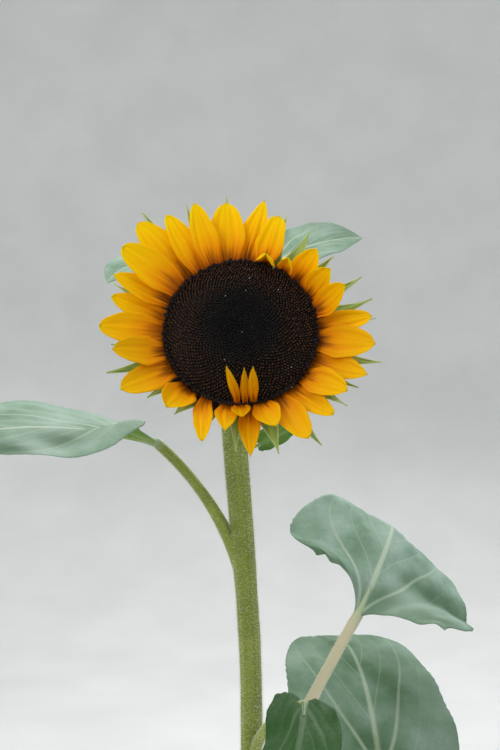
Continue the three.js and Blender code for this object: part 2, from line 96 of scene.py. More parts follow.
def newMaterial(name, **fixed):  # also gives the functions that add a node to it and that feed its shader
    material = bpy.data.materials.new(name)
    material.use_nodes = True
    tree = material.node_tree
    cover = partial(wire, tree, tree.nodes["Principled BSDF"])
    cover(**fixed)
    return material, partial(addNode, tree), cover


def newTree(name, **sockets):  # a geometry tree with named inputs, by kind
    tree = bpy.data.node_groups.new(name, "GeometryNodeTree")
    for kind, names in sockets.items():
        for title in names.split():
            tree.interface.new_socket(title, in_out="INPUT", socket_type="NodeSocket" + kind)
    tree.interface.new_socket("Geometry", in_out="OUTPUT", socket_type="NodeSocketGeometry")
    return tree, partial(addNode, tree), tree.nodes.new("NodeGroupInput").outputs


def strewn(add, dots, shape, facing, seed, low, high, least, most, scale=1.0):
    # copies of a shape on dots, each spun between low and high and sized between least and most
    spin = add("FunctionNodeRandomValue", low, high, Seed=seed, data_type="FLOAT_VECTOR")
    twist = add("FunctionNodeEulerToRotation", spin)
    pose = add("FunctionNodeRotateRotation", facing, twist, rotation_space="LOCAL")
    chance = add("FunctionNodeRandomValue", least, most, Seed=seed, data_type="FLOAT")
    size = add("Math", chance, scale, operation="MULTIPLY")
    return add("GeometryNodeInstanceOnPoints", dots, Instance=shape, Rotation=pose, Scale=size)


def ended(add, copies, finish):  # the copies made real, in their material
    real = add("GeometryNodeRealizeInstances", copies)
    add("NodeGroupOutput", add("GeometryNodeSetMaterial", real, Material=finish))


def smooth(value, low, high):
    share = np.clip((value - low) / (high - low), 0, 1)
    return share * share * (3 - 2 * share)


def mix(a, b, share):
    return a + (b - a) * share


def unit(vectors):
    return vectors / np.maximum(np.linalg.norm(vectors, axis=-1, keepdims=True), 1e-12)


def direction(heading, elevation):
    level = np.cos(elevation)
    return np.stack([level * np.cos(heading), level * np.sin(heading), np.sin(elevation)], -1)


def turned(vectors, axis, angle):  # turns each vector about its own axis
    cosine, sine = np.cos(angle)[..., None], np.sin(angle)[..., None]
    along = np.sum(vectors * axis, -1, keepdims=True)
    return vectors * cosine + np.cross(axis, vectors) * sine + axis * along * (1 - cosine)


def walked(start, ahead, length):  # the line that leaves start along ahead(share)
    steps = 24
    shares = (np.arange(steps) + 0.5) / steps
    line = np.vstack([start, start + np.cumsum(ahead(shares) * (length / steps), 0)])
    knots = np.linspace(0, 1, steps + 1)
    return lambda share: np.stack([np.interp(share, knots, line[:, k]) for k in range(3)], -1)


def circle(sides):  # the angles of points evenly round
    return np.arange(sides) / sides * 2 * math.pi


def unevenness(seed, across, along):  # a smooth field of about -1 to 1
    waves, finest = 7, 5.0
    random = np.random.default_rng(seed)
    total = np.zeros(np.broadcast(across, along).shape)
    for _ in range(waves):
        a, b = random.uniform(-finest, finest, 2)
        total += np.sin(a * across + 2 * b * along + random.uniform(0, 6.28)) / waves ** 0.5
    return total


def makeMesh(name, points, faces, fields, materials, which=None):
    mesh = bpy.data.meshes.new(name)
    mesh.from_pydata((np.asarray(points) * mm).tolist(), [], [list(map(int, f)) for f in faces])
    for material in materials:
        mesh.materials.append(material)
    if which is not None:
        mesh.polygons.foreach_set("material_index", np.asarray(which, np.int32))
    for field, values in fields.items():
        layer = mesh.attributes.new(field, "FLOAT", "POINT")
        layer.data.foreach_set("value", np.asarray(values, np.float32).ravel())
    mesh.shade_smooth()
    mesh.validate()
    piece = bpy.data.objects.new(name, mesh)
    bpy.context.scene.collection.objects.link(piece)
    return piece


def shell(middle, above, below, fields):
    # a closed thin sheet round a grid of points, above and below being its half thicknesses
    rows, columns = middle.shape[:2]
    sideways = np.gradient(middle, axis=1)
    onwards = np.gradient(middle, axis=0)
    normal = unit(np.cross(sideways, onwards))
    points = np.concatenate([
        (middle + normal * above[..., None]).reshape(-1, 3),
        (middle - normal * below[..., None]).reshape(-1, 3),
    ])
    cell = (np.arange(rows - 1)[:, None] * columns + np.arange(columns - 1)).ravel()
    top = np.stack([cell, cell + 1, cell + columns + 1, cell + columns], 1)
    size = rows * columns
    under = top[:, ::-1] + size
    across = np.arange(columns)
    along = np.arange(rows) * columns
    rim = np.concatenate([across, along[1:] + columns - 1, (size - 1 - across)[1:], along[::-1][1:-1]])
    after = np.roll(rim, -1)
    wall = np.stack([rim, rim + size, after + size, after], 1)
    faces = np.concatenate([top, under, wall])
    side = np.concatenate([np.zeros(len(top)), np.ones(len(under)), np.zeros(len(wall))])
    doubled = {key: np.tile(np.broadcast_to(value, (rows, columns)).ravel(), 2)
               for key, value in fields.items()}
    return points, faces, doubled, side


def joined(parts):  # several shells as one
    starts = np.cumsum([0] + [len(part[0]) for part in parts])
    return (np.concatenate([part[0] for part in parts]),
            np.concatenate([part[1] + start for part, start in zip(parts, starts)]),
            {key: np.concatenate([part[2][key] for part in parts]) for key in parts[0][2]})


def ringFaces(rings, sides, closed=True):  # bands between rings of points, and a fan at each end
    here = np.arange(sides)
    after = (here + 1) % sides
    band = np.stack([here, after, after + sides, here + sides], 1)
    faces = [face for n in range(rings - 1) for face in (band + n * sides).tolist()]
    if closed:  # the foot's point comes after the rings, then the tip's
        last, foot = (rings - 1) * sides, rings * sides
        faces += np.stack([after, here, foot + 0 * here], 1).tolist()
        faces += np.stack([here + last, after + last, foot + 1 + 0 * here], 1).tolist()
    return faces


def tube(line, radius, fields):  # a closed limb along line (rings, 3), with radius (rings, sides)
    rings, sides = radius.shape
    tangent = unit(np.gradient(line, axis=0))
    first = unit(np.cross(tangent[0], [0.0, 1.0, 0.0] if abs(tangent[0][1]) < 0.9 else [1.0, 0.0, 0.0]))
    normals = [first]
    for n in range(1, rings):
        carried = normals[-1] - tangent[n] * np.dot(normals[-1], tangent[n])
        normals.append(carried / np.linalg.norm(carried))
    normals = np.array(normals)
    others = np.cross(tangent, normals)
    angle = circle(sides)
    ring = normals[:, None] * np.cos(angle)[None, :, None] + others[:, None] * np.sin(angle)[None, :, None]
    points = (line[:, None] + ring * radius[..., None]).reshape(-1, 3)
    given = {}
    for key, value in fields.items():
        flat = np.broadcast_to(value, (rings, sides)).ravel()
        given[key] = np.concatenate([flat, [flat[0], flat[-1]]])
    return np.vstack([points, line[0], line[-1]]), ringFaces(rings, sides), given


def lathe(profile, sides, wobble=None):  # a closed turned form from (radius, height) pairs, axis to axis
    profile = np.array(profile, float)
    angle = circle(sides)
    middle = profile[1:-1]
    radius, height = (middle[:, k, None] * np.ones(sides) for k in (0, 1))
    if wobble is not None:
        radius = radius * (1 + wobble(middle[:, 0][:, None], angle[None, :]))
    points = np.stack([radius * np.cos(angle), radius * np.sin(angle), height], -1)
    points = np.vstack([points.reshape(-1, 3), [0, 0, profile[0, 1]], [0, 0, profile[-1, 1]]])
    return points, ringFaces(len(middle), sides)


def place(piece, slotName, *nodes):
    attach(piece, "root")
    if nodes:
        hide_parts(*nodes)
    return piece


def grow(name, tree, inputs, base=None):
    # runs a geometry tree and keeps its result as a plain mesh
    host = bpy.data.objects.new(name + "Host", base.data if base else bpy.data.meshes.new(name))
    bpy.context.scene.collection.objects.link(host)
    modifier = host.modifiers.new(name, "NODES")
    modifier.node_group = tree
    for item in tree.interface.items_tree:
        if item.in_out == "INPUT" and item.name in inputs:
            modifier[item.identifier] = inputs[item.name]
    bpy.context.view_layer.update()
    graph = bpy.context.evaluated_depsgraph_get()
    mesh = bpy.data.meshes.new_from_object(host.evaluated_get(graph), depsgraph=graph)
    mesh.name = name
    host.modifiers.remove(modifier)
    bpy.data.objects.remove(host)
    piece = bpy.data.objects.new(name, mesh)
    bpy.context.scene.collection.objects.link(piece)
    return piece


# Living petal: a thin, slightly velvety blade, pure yellow at its tip and orange below, with a burnt
# brown blotch at its foot and fine lengthwise pleats, darker in their troughs as painted shade. Rays low on
# the head or standing towards the viewer are painted a darker orange as shade.
def makePetalMaterial():
    material, add, cover = newMaterial(
        "livingPetal", Subsurface_Weight=0.35, Subsurface_Scale=0.0012,
        Subsurface_Radius=(1.0, 0.5, 0.02), Specular_IOR_Level=0.06)
    along, across, tint, orangeShade = (add("Attribute", attribute_name=key).outputs["Fac"]
                                   for key in ("along", "across", "tint", "orangeShade"))
    x = add("Math", across, 5.0, operation="MULTIPLY")
    y = add("Math", along, 0.9, operation="MULTIPLY")
    z = add("Math", tint, 30.0, operation="MULTIPLY")
    spot = add("CombineXYZ", x, y, z)
    streak = add("TexNoise", spot, 1.0, 2.0, 0.5)
    shift = add("MapRange", streak, 0.3, 0.7, -0.09, 0.09)
    depth = add("Math", along, shift, operation="ADD")
    colour = add("ValToRGB", depth, stops=[
        (0.0, "#a44600"), (0.12, "#d07000"), (0.28, "#f29a00"), (0.52, "#ffbe00"), (1.0, "#ffd800")])
    # painted shade: a darker orange for the rays low on the head and those standing towards the viewer
    rayShaded = add("Mix", orangeShade, colour, "#b06800", data_type="RGBA")
    side = add("Math", across, operation="ABSOLUTE")
    edge = add("MapRange", side, 0.2, 0.95, 0.0, 0.3)
    reach = add("Math", depth, edge, operation="ADD")
    blotch = add("MapRange", reach, 0.1, 0.38, 1.0, 0.0, interpolation_type="SMOOTHSTEP")
    strength = add("MapRange", tint, 0.0, 1.0, 0.35, 0.85)
    burnt = add("Math", blotch, strength, operation="MULTIPLY")
    stained = add("Mix", burnt, rayShaded, "#451a04", data_type="RGBA")
    pleat = add("Math", across, 14.0, operation="MULTIPLY")
    wave = add("Math", pleat, operation="SINE")
    # painted shade in the troughs of the fine pleats
    paintedShade = add("MapRange", wave, -1.0, 1.0, 0.15, 0.0)
    pleatShaded = add("Mix", paintedShade, stained, "#d87a00", data_type="RGBA")
    height = add("Math", wave, streak, operation="ADD")
    bump = add("Bump", 0.5, 0.00014, Height=height)
    rough = add("MapRange", streak, 0.3, 0.7, 0.5, 0.65)
    cover(Base_Color=pleatShaded, Normal=bump, Roughness=rough)
    return material


# Living leaf blade: matt, with pale sunken veins and a fine net between them above, and raised
# paler ribs below. Its green is painted towards a deep green as shade, by each leaf's own amount.
def makeLeafMaterial(name, blade, shadeColour, veins, veinPower, netPower, relief):
    material, add, cover = newMaterial(
        name, Specular_IOR_Level=0.13, Subsurface_Weight=0.05, Subsurface_Scale=0.001,
        Subsurface_Radius=(0.5, 1.0, 0.2), Sheen_Weight=0.02, Sheen_Roughness=0.5)
    field = {key: add("Attribute", attribute_name=key).outputs["Fac"]
             for key in ("phase", "gap", "fromRib", "along", "across", "paintedShade")}
    where = add("TexCoord").outputs["Object"]
    whole = add("Math", field["phase"], operation="ROUND")
    part = add("Math", field["phase"], whole, operation="SUBTRACT")
    far = add("Math", part, operation="ABSOLUTE")
    away = add("Math", far, field["gap"], operation="MULTIPLY")  # mm
    out = add("Math", field["across"], operation="ABSOLUTE")
    order = add("Math", whole, operation="ABSOLUTE")
    main = add("MapRange", order, 0.0, 1.0, 1.0, 0.0)
    taper = add("MapRange", out, 0.0, 1.0, 2.5, 0.6)  # a main vein's half width, mm
    fineTaper = add("MapRange", out, 0.0, 1.0, 0.8, 0.3)
    wide = add("Mix", main, fineTaper, taper, data_type="FLOAT")
    lateral = add("MapRange", away, wide, 0.1, 0.0, 1.0, interpolation_type="SMOOTHSTEP")
    ribAway = add("Math", field["fromRib"], operation="ABSOLUTE")
    ribWide = add("MapRange", field["along"], 0.0, 1.0, 3.2, 0.8)
    rib = add("MapRange", ribAway, ribWide, 0.6, 0.0, 1.0, interpolation_type="SMOOTHSTEP")
    fade = add("MapRange", out, 0.2, 0.9, 1.0, 0.15)
    strong = add("MapRange", main, 0.0, 1.0, 0.35, 0.9)
    kept = add("Math", fade, strong, operation="MULTIPLY")
    faded = add("Math", lateral, kept, operation="MULTIPLY")
    ribFade = add("MapRange", field["along"], 0.3, 1.0, 1.0, 0.4)
    ribKept = add("Math", rib, ribFade, operation="MULTIPLY")
    vein = add("Math", faded, ribKept, operation="MAXIMUM")
    net = add("TexVoronoi", where, 1 / (4.2 * mm), feature="DISTANCE_TO_EDGE")
    fine = add("TexVoronoi", where, 1 / (1.7 * mm), feature="DISTANCE_TO_EDGE")
    netLine = add("MapRange", net, 0.0, 0.13, 1.0, 0.0)
    fineLine = add("MapRange", fine, 0.0, 0.16, 0.5, 0.0)
    mesh = add("Math", netLine, fineLine, operation="MAXIMUM")
    patch = add("TexNoise", where, 1 / (38 * mm), 3.0, 0.55)
    speck = add("TexNoise", where, 1 / (1.6 * mm), 2.0)
    base = add("ValToRGB", patch, stops=[(0.3, blade[0]), (0.5, blade[1]), (0.7, blade[2])])
    # painted shade: the blade's green goes over into a deep green as far as the leaf stands in shade
    shade = add("Mix", field["paintedShade"], base, shadeColour, data_type="RGBA")
    grain = add("MapRange", speck, 0.3, 0.7, 0.16, 0.0)
    grained = add("Mix", grain, shade, "#3a5c2c", data_type="RGBA")
    netFade = add("MapRange", field["paintedShade"], 0.0, 1.0, netPower, 0.25 * netPower)
    netShare = add("Math", mesh, netFade, operation="MULTIPLY")
    netted = add("Mix", netShare, grained, veins, data_type="RGBA")
    power = add("MapRange", field["paintedShade"], 0.0, 1.0, veinPower, 0.1 * veinPower)
    veinShare = add("Math", vein, power, operation="MULTIPLY")
    veined = add("Mix", veinShare, netted, veins, data_type="RGBA")
    low = add("Math", mesh, 0.15, operation="MULTIPLY")
    sunk = add("Math", low, vein, operation="MAXIMUM")
    grit = add("Math", speck, 0.5, operation="MULTIPLY")
    height = add("Math", sunk, relief, grit, operation="MULTIPLY_ADD")
    bump = add("Bump", 0.7, 0.00035, Height=height)
    rough = add("MapRange", speck, 0.3, 0.7, 0.6, 0.78)
    cover(Base_Color=veined, Normal=bump, Roughness=rough)
    return material


# Green herbaceous skin: lengthwise paler streaks and small pimples where the hairs stand.
def makeSkinMaterial(name, colours, pimple):
    material, add, cover = newMaterial(
        name, Specular_IOR_Level=0.4, Subsurface_Weight=0.08, Subsurface_Scale=0.0015,
        Subsurface_Radius=(0.6, 1.0, 0.2), Sheen_Weight=1.0, Sheen_Roughness=0.28)
    streak, pale, midrib, paintedShade = (add("Attribute", attribute_name=key).outputs["Fac"]
                                  for key in ("streak", "pale", "midrib", "paintedShade"))
    where = add("TexCoord").outputs["Object"]
    cloud = add("TexNoise", where, 1 / (14 * mm), 3.0)
    blend = add("Math", streak, 0.12, cloud, operation="MULTIPLY_ADD")
    colour = add("ValToRGB", blend, stops=[(0.3, colours[0]), (0.55, colours[1]), (0.8, colours[2])])
    dots = add("TexVoronoi", where, 1 / (1.5 * mm), feature="F1")
    spot = add("MapRange", dots, 0.0, 0.3, 0.5, 0.0)
    dotted = add("Mix", spot, colour, pimple, data_type="RGBA")
    faded = add("Mix", pale, dotted, "#dacfb4", data_type="RGBA")
    # painted shade: the rib where a stalk runs into its blade is darker on a leaf that stands in shade
    ribColour = add("Mix", paintedShade, "#b0c0a0", "#456c30", data_type="RGBA")
    merged = add("Mix", midrib, faded, ribColour, data_type="RGBA")
    height = add("Math", streak, 0.15, spot, operation="MULTIPLY_ADD")
    bump = add("Bump", 0.6, 0.0002, Height=height)
    rough = add("MapRange", cloud, 0.3, 0.7, 0.42, 0.6)
    cover(Base_Color=merged, Normal=bump, Roughness=rough)
    return material


# Plant hair: a stiff whitish bristle, matt and a little clear.
def makeHairMaterial():
    material, add, cover = newMaterial(
        "bristleHair", Roughness=0.45, Subsurface_Weight=0.2, Subsurface_Scale=0.001, Specular_IOR_Level=0.4)
    where = add("TexCoord").outputs["Object"]
    cloud = add("TexNoise", where, 1 / (3 * mm), 1.0)
    colour = add("ValToRGB", cloud, stops=[(0.35, "#dde2c0"), (0.65, "#f6f6ea")])
    bump = add("Bump", 0.2, 0.0001, Height=cloud)
    cover(Base_Color=colour, Normal=bump)
    return material


# Bract: a firm green scale with a paler, hair-fringed margin and lengthwise nerves.
def makeBractMaterial():
    material, add, cover = newMaterial(
        "bractScale", Roughness=0.55, Specular_IOR_Level=0.35, Subsurface_Weight=0.06, Subsurface_Scale=0.001,
        Sheen_Weight=0.2, Sheen_Roughness=0.5)
    along, across, shaded = (add("Attribute", attribute_name=key).outputs["Fac"]
                             for key in ("along", "across", "shaded"))
    where = add("TexCoord").outputs["Object"]
    cloud = add("TexNoise", where, 1 / (7 * mm), 3.0)
    length = add("Math", cloud, 0.5, along, operation="MULTIPLY_ADD")
    colour = add("ValToRGB", length, stops=[
        (0.2, "#5f8a2c"), (0.6, "#7ba53a"), (0.95, "#98b957"), (1.2, "#a9c46c")])
    edge = add("Math", across, operation="ABSOLUTE")
    rim = add("MapRange", edge, 0.72, 1.0, 0.0, 0.75)
    edged = add("Mix", rim, colour, "#d5e0a8", data_type="RGBA")
    nerve = add("Math", across, 16.0, operation="MULTIPLY")
    wave = add("Math", nerve, operation="COSINE")
    line = add("MapRange", wave, 0.4, 1.0, 0.0, 0.3)
    nerved = add("Mix", line, edged, "#4d7a24", data_type="RGBA")
    inner = add("Mix", shaded, nerved, "#221a0c", data_type="RGBA")
    bump = add("Bump", 0.5, 0.00015, Height=wave)
    cover(Base_Color=inner, Normal=bump)
    return material


# Disc florets: near-black tubes, purple in the middle and browner outwards, whose pollen-dusted
# tips show as brown specks.
def makeFloretMaterial(name, stops, speckColour, speckPower):
    material, add, cover = newMaterial(name, Specular_IOR_Level=0.15, Sheen_Weight=0.03, Sheen_Roughness=0.5)
    ripe, tip, mottle = (add("Attribute", attribute_name=key).outputs["Fac"]
                         for key in ("ripe", "tip", "mottle"))
    where = add("TexCoord").outputs["Object"]
    dust = add("TexNoise", where, 1 / (0.5 * mm), 2.0)
    colour = add("ValToRGB", ripe, stops=stops)
    spread = add("MapRange", ripe, 0.3, 0.7, 0.0, 1.0)
    high = add("MapRange", tip, 0.78, 0.95, 0.0, 1.0)
    some = add("MapRange", mottle, 0.0, 1.0, 0.35, 1.0)
    outer = add("Math", spread, high, operation="MULTIPLY")
    patchy = add("Math", outer, some, operation="MULTIPLY")
    pollen = add("Math", patchy, speckPower, operation="MULTIPLY")
    specked = add("Mix", pollen, colour, speckColour, data_type="RGBA")
    fleck = add("MapRange", mottle, 0.9965, 0.997, 0.0, 1.0)
    dusted = add("Math", fleck, high, operation="MULTIPLY")
    flecked = add("Mix", dusted, specked, "#aab2bc", data_type="RGBA")
    bump = add("Bump", 0.4, 0.0001, Height=dust)
    rough = add("MapRange", dust, 0.3, 0.7, 0.5, 0.75)
    cover(Base_Color=flecked, Normal=bump, Roughness=rough)
    return material


petal = makePetalMaterial()
# the upper side's pale bluish grey-green is partly the blade's own hairy bloom and partly painted sky
# reflection; its deep green is painted shade
leafUpper = makeLeafMaterial("leafUpperSide", ("#66876a", "#93ae9c", "#b4c9be"), "#164400", "#c9d6c0",
                             0.8, 0.05, -1.0)
leafUnder = makeLeafMaterial("leafUnderSide", ("#5f8a28", "#709a34", "#82a844"), "#416a26", "#b0c288",
                             0.6, 0.15, 1.0)
stemSkin = makeSkinMaterial("stemSkin", ("#69781c", "#7a882a", "#8c9844"), "#b4bc7c")
stalkSkin = makeSkinMaterial("stalkSkin", ("#7a882a", "#8b973a", "#9ea756"), "#c2c98e")
hair = makeHairMaterial()
bract = makeBractMaterial()
inner = [(0.0, "#08080b"), (0.5, "#0b090a")]
bud = makeFloretMaterial("unopenedFloret", [*inner, (1.0, "#150e0b")], "#704828", 0.8)
floret = makeFloretMaterial("openFloret", [*inner, (1.0, "#170d08")], "#704828", 0.9)
rimFloret = makeFloretMaterial("rimFloret", [(0.0, "#120a0a"), (1.0, "#140b09")], "#3d200f", 0.3)
print("materials made")

# Bloom. Its own frame has +X right, +Y up the disc and +Z the way that it looks.
head = {"centre": (-5.7, -53.0, 799.0), "tilt": 20.0, "radius": 37.5, "wall": 3.2, "rise": 9.0,
        "doming": 2.4, "dimple": 1.6, "hollow": 0.28, "floor": -2.0, "backDepth": 20.0, "gap": 0.3}
headTurn = Matrix.Rotation(math.radians(90 - head["tilt"]), 4, "X")
headPlace = Matrix.Translation(Vector(head["centre"]) * mm) @ headTurn
headAxes = np.array(headTurn.to_3x3())
headCentre = np.array(head["centre"])
headNormal = headAxes @ up


def inPlant(points):  # from the bloom's own frame to the plant's
    return points @ headAxes.T + headCentre


# "thickness" is the solid's, from which the foot's place follows, and "sheet" is the thinner one made here
rayForm = {"thickness": 0.7, "layer": 1.15, "claw": 0.6, "footCup": 0.4, "tip": 0.13,
           "rows": 44, "columns": 23, "sheet": 0.45, "pleat": 0.22, "point": 1.05, "notch": 0.9}
# at, lean, long, wide, lift, curl, cup, blunt, whorl
rays = [
    (99.5, -9, 31, 19.5, 20, -6, 24, 0.42, 1), (85.5, -14, 34, 13.5, 20, -4, 20, 0.7, 0),
    (73, -3, 26, 14.5, 21, -2, 20, 0.3, 1.5), (70.5, 0, 12.5, 14, 74, 44, 115, 0.3, 3),
    (55, 0, 14, 11.5, 62, 40, 105, 0.35, 2.6), (45, 6, 21, 15, 32, 14, 50, 0.4, 0),
    (30, 8, 21, 16, 37, 30, 54, 0.4, 1), (16, 11, 23, 15, 37, 26, 50, 0.45, 3.1),
    (5, 1, 27.5, 12.5, 18, -2, 18, 0.4, 0), (-7, -4, 29, 18.5, 20, -3, 24, 0.45, 1),
    (-21.5, -2, 29, 14, 18, 0, 18, 0.6, 0), (-36, 5, 26, 16, 26, 4, 30, 0.45, 1),
    (-49, 9, 28, 11.5, 21, 4, 26, 0.45, 0), (-62, 2, 30, 15.5, 25, -4, 28, 0.4, 1),
    (-74.5, 9, 20, 14, 33, 4, 38, 0.45, 2), (-84.5, -3, 26.5, 11, 12, -8, 26, 0.8, 0),
    (-99, 6, 17.5, 11.5, 32, -4, 34, 0.6, 1), (-115, 25, 27, 10, 28, -10, 36, 0.5, 1),
    (-131, 8, 21, 17.5, 34, 10, 44, 0.34, 0), (-150, 2, 29.5, 16, 22, 0, 26, 0.4, 1),
    (-164, -8, 27.5, 16, 25, 6, 34, 0.42, 2), (180, 2, 32.5, 18.5, 20, -2, 24, 0.45, 1),
    (167.5, -5, 29.5, 13.5, 18, 0, 22, 0.55, 0), (155, 6, 31.5, 13.5, 21, -1, 26, 0.55, 1.4),
    (143.5, 7, 35.5, 19, 27, -6, 22, 0.42, 2.6), (132, 2, 39.5, 19, 18, -4, 20, 0.42, 0),
    (121, 3, 34.5, 14.5, 20, -4, 20, 0.55, 1.15), (111, -3, 33, 14, 24, -6, 24, 0.5, 2.2),
    (-92.3, 30, 24, 4.6, 120, 4, 30, 0.9, 4.4), (-86.4, -2, 18, 4.4, 130, 4, 24, 0.7, 4.4),
    (-80.2, -9, 23, 5.3, 115, 2, 30, 0.75, 4.4), (-89.5, 4, 12, 9.5, 38, 14, 40, 0.35, 2.7),
]


def archOf(half, bend, across):  # how far a strip bent through an angle on each side stands above its middle
    return half * (1 - np.cos(bend * across)) / bend


def rayParts(number, ray):
    at, lean, long, wide, lift, curl, cup, blunt, whorl = ray
    form = rayForm
    footEdge = archOf(wide / 2 * form["claw"], math.radians(cup) * form["footCup"], 1) + form["thickness"] / 2
    clear = head["radius"] + head["gap"] + footEdge * math.sin(math.radians(lift))
    turn = math.radians(at)
    foot = np.array([clear * math.cos(turn), clear * math.sin(turn), (whorl - 0.9) * form["layer"]])

    def heading(share):
        return np.radians(at + lean * np.minimum(1, share * 3))

    def ahead(share):
        return direction(heading(share), np.radians(lift + curl * share))

    line = walked(foot, ahead, long)
    along = 1 - (1 - np.linspace(0, 1, form["rows"])) ** 1.5
    v, u = np.meshgrid(along, np.linspace(-1, 1, form["columns"]), indexing="ij")
    right = np.stack([np.sin(heading(v)), -np.cos(heading(v)), 0 * v], -1)
    over = np.cross(right, ahead(v))
    claw = mix(form["claw"], 1, smooth(v, 0, 0.4))
    least = form["tip"] * np.minimum(1, (1 - v) * 12) ** 0.5
    tip = np.maximum(least, np.cos(math.pi / 2 * np.maximum(0, (v - 0.35) / 0.65)) ** blunt)
    half = wide / 2 * claw * tip * (1 + 0.03 * unevenness(number + 60, np.sign(u) * 2, v * 2.2))
    bend = math.radians(cup) * mix(form["footCup"], 1, v)
    middle = line(v) + right * (half * np.sin(bend * u) / bend)[..., None]
    ruffle = 0.35 * unevenness(number + 200, u * 0.8, v * 0.8) * v * np.minimum(1, (1 - v) * 6)
    pleats = form["pleat"] * np.cos(u * 2.5 * math.pi) * smooth(v, 0, 0.2) * (1 - smooth(v, 0.75, 1))
    middle = middle + over * (archOf(half, bend, u) + pleats + ruffle)[..., None]
    tint = np.random.default_rng(number + 7).random()
    if tint > 0.3:  # most rays end in a point, the rest in small teeth
        end = -form["point"] * np.exp(-((u / 0.5) ** 2)) * smooth(v, 0.8, 1)
    else:
        end = form["notch"] * np.maximum(0, np.cos(u * 3 * math.pi)) * smooth(v, 0.9, 1) * (np.abs(u) < 0.8)
    middle = middle - ahead(v) * end[..., None]
    thick = np.full(v.shape, form["sheet"] / 2) * (1 - 0.5 * u ** 4)
    height = max(0, math.sin(turn)) ** 0.7  # painted shade: rays standing high on the head get the least darker orange, low ones and those standing towards the viewer the most
    orangeShade = (0.6 if lift > 90 else 0.36) * (1 - height) * (0.8 + 0.4 * tint)
    return shell(inPlant(middle), thick, thick, {
        "along": v * (0.84 + 0.16 * min(1, long / 28)), "across": u, "tint": np.full(v.shape, tint),
        "orangeShade": np.full(v.shape, orangeShade)})


for number, ray in enumerate(rays, 1):
    points, faces, fields, _ = rayParts(number, ray)
    piece = makeMesh(f"petal_{number:02d}", points, faces, fields, [petal])
    place(piece, "ray", f"ray_{number:02d}")
print("rays made")

# Back of the head: a shallow cup, ribbed where the bracts run into it.
backProfile = [(0, -20), (9, -20), (12.5, -19.2), (16, -17.6), (21, -15.4), (26, -13), (30.5, -10),
               (34, -7.4), (36.3, -5), (37, -3.4), (37, -2.3), (30, -2.3), (0, -2.3)]
backForm = {"sides": 192, "ribs": 48, "rib": 0.012, "lumps": 7, "lump": 0.008}


def backRibs(radius, angle):
    ribs = backForm["rib"] * np.cos(backForm["ribs"] * angle) * smooth(radius, 10, 30)
    return ribs + backForm["lump"] * np.cos(backForm["lumps"] * angle + radius / 3)


points, faces = lathe(backProfile, backForm["sides"], backRibs)
reach = np.hypot(points[:, 0], points[:, 1])
cup = makeMesh("headBack", inPlant(points), faces, {
    "along": np.full(len(points), 0.1), "across": np.full(len(points), 0.2),
    "shaded": smooth(points[:, 2], -4.4, -3.4) * smooth(reach, 20, 30)}, [bract])
place(cup, "bracts", "receptacle")

bractForm = {"foot": 29.0, "level": -6.4, "step": 1.6, "sheet": 0.7, "rows": 30, "columns": 11}
# at, long, wide, lift
bracts = [
    (-174.5, 36, 13, 10), (-162, 42, 14, 12), (-143.5, 28, 14, 10), (-127, 26, 20, 16), (-109, 23.5, 14, 10),
    (-92, 32.5, 12, 8), (-73.5, 36, 16, 8), (-56, 42.5, 15, 10), (-38, 38, 14, 18), (-27, 37.5, 13, 14),
    (-13.5, 43, 14, 12), (6, 41, 13, 14), (14, 40, 15, 16), (25, 41, 15, 18), (39.5, 34.5, 17, 24),
    (57, 39, 18, 20), (69, 39.5, 17, 20), (80, 43.5, 15, 20), (96, 45.5, 15, 20), (112.5, 48, 15, 20),
    (129, 53.5, 15, 18), (144, 45.5, 14, 16), (158.5, 41, 14, 14), (173.5, 38, 14, 12),
]


def bractParts(index, row):
    form = bractForm
    at, long, wide, lift = row
    turn, lift, outer = math.radians(at), math.radians(lift), index % 2
    v, u = np.meshgrid(np.linspace(0, 1, form["rows"]), np.linspace(-1, 1, form["columns"]), indexing="ij")
    swell = np.sin(math.pi * np.minimum(1, 0.24 + 0.76 * v)) ** 0.8
    half = wide / 2 * np.maximum(0.02, swell * (1 - 0.78 * v))
    out = long * v
    x = form["foot"] - outer + out * math.cos(lift)
    y = u * half + 0.12 * math.sin(index * 2.4) * out * v * (1 - v)
    z = form["level"] - form["step"] * outer + out * math.sin(lift) * v ** 0.5 + 0.16 * half * u * u
    z = z + 0.4 * np.cos(u * 2 * math.pi) * (1 - v) + 0.6 * unevenness(index + 400, u, v) * v
    cosine, sine = math.cos(turn), math.sin(turn)
    middle = np.stack([x * cosine - y * sine, x * sine + y * cosine, z], -1)
    thick = form["sheet"] / 2 * (1 - 0.6 * np.abs(u) ** 3) * mix(1.4, 0.7, v)
    parts = shell(inPlant(middle), thick, thick, {"along": v, "across": u, "shaded": 1 - smooth(out, 11, 18)})
    parts[2]["shaded"][:v.size] = 0  # only the side towards the disc is in its shade
    return parts


points, faces, fields = joined([bractParts(index, row) for index, row in enumerate(bracts)])
place(makeMesh("bracts", points, faces, fields, [bract]), "bracts")
print("back of the head made")


def discHeight(share):  # above the bloom's own origin, at a share of the disc's radius
    return (head["wall"] + head["rise"] * (1 - share ** head["doming"])
            - head["dimple"] * np.exp(-((share / head["hollow"]) ** 2)))


seat = {"below": 1.3, "inset": 0.6, "rings": 40, "sides": 160}  # the florets stand on a dome this much lower
shares = np.linspace(1, 0, seat["rings"] + 1)
seatRadius = head["radius"] - seat["inset"]
discProfile = [(0, head["floor"]), (seatRadius, head["floor"])]
discProfile += [(max(0.05, seatRadius * s), discHeight(s) - seat["below"]) for s in shares]
discProfile.append((0, discHeight(0) - seat["below"]))
points, faces = lathe(discProfile, seat["sides"])
count = len(points)
ripe = np.hypot(points[:, 0], points[:, 1]) / head["radius"]
dome = makeMesh("discDome", inPlant(points), faces,
                {"ripe": ripe, "tip": np.zeros(count), "mottle": np.zeros(count)}, [bud])
place(dome, "disc", "disc")


def template(name, profile):  # one six-sided floret on its own foot, from (radius, height) pairs in mm
    points, faces = lathe(profile, 6)
    return makeMesh(name, points, faces, {"tip": points[:, 2] / points[:, 2].max()}, [])


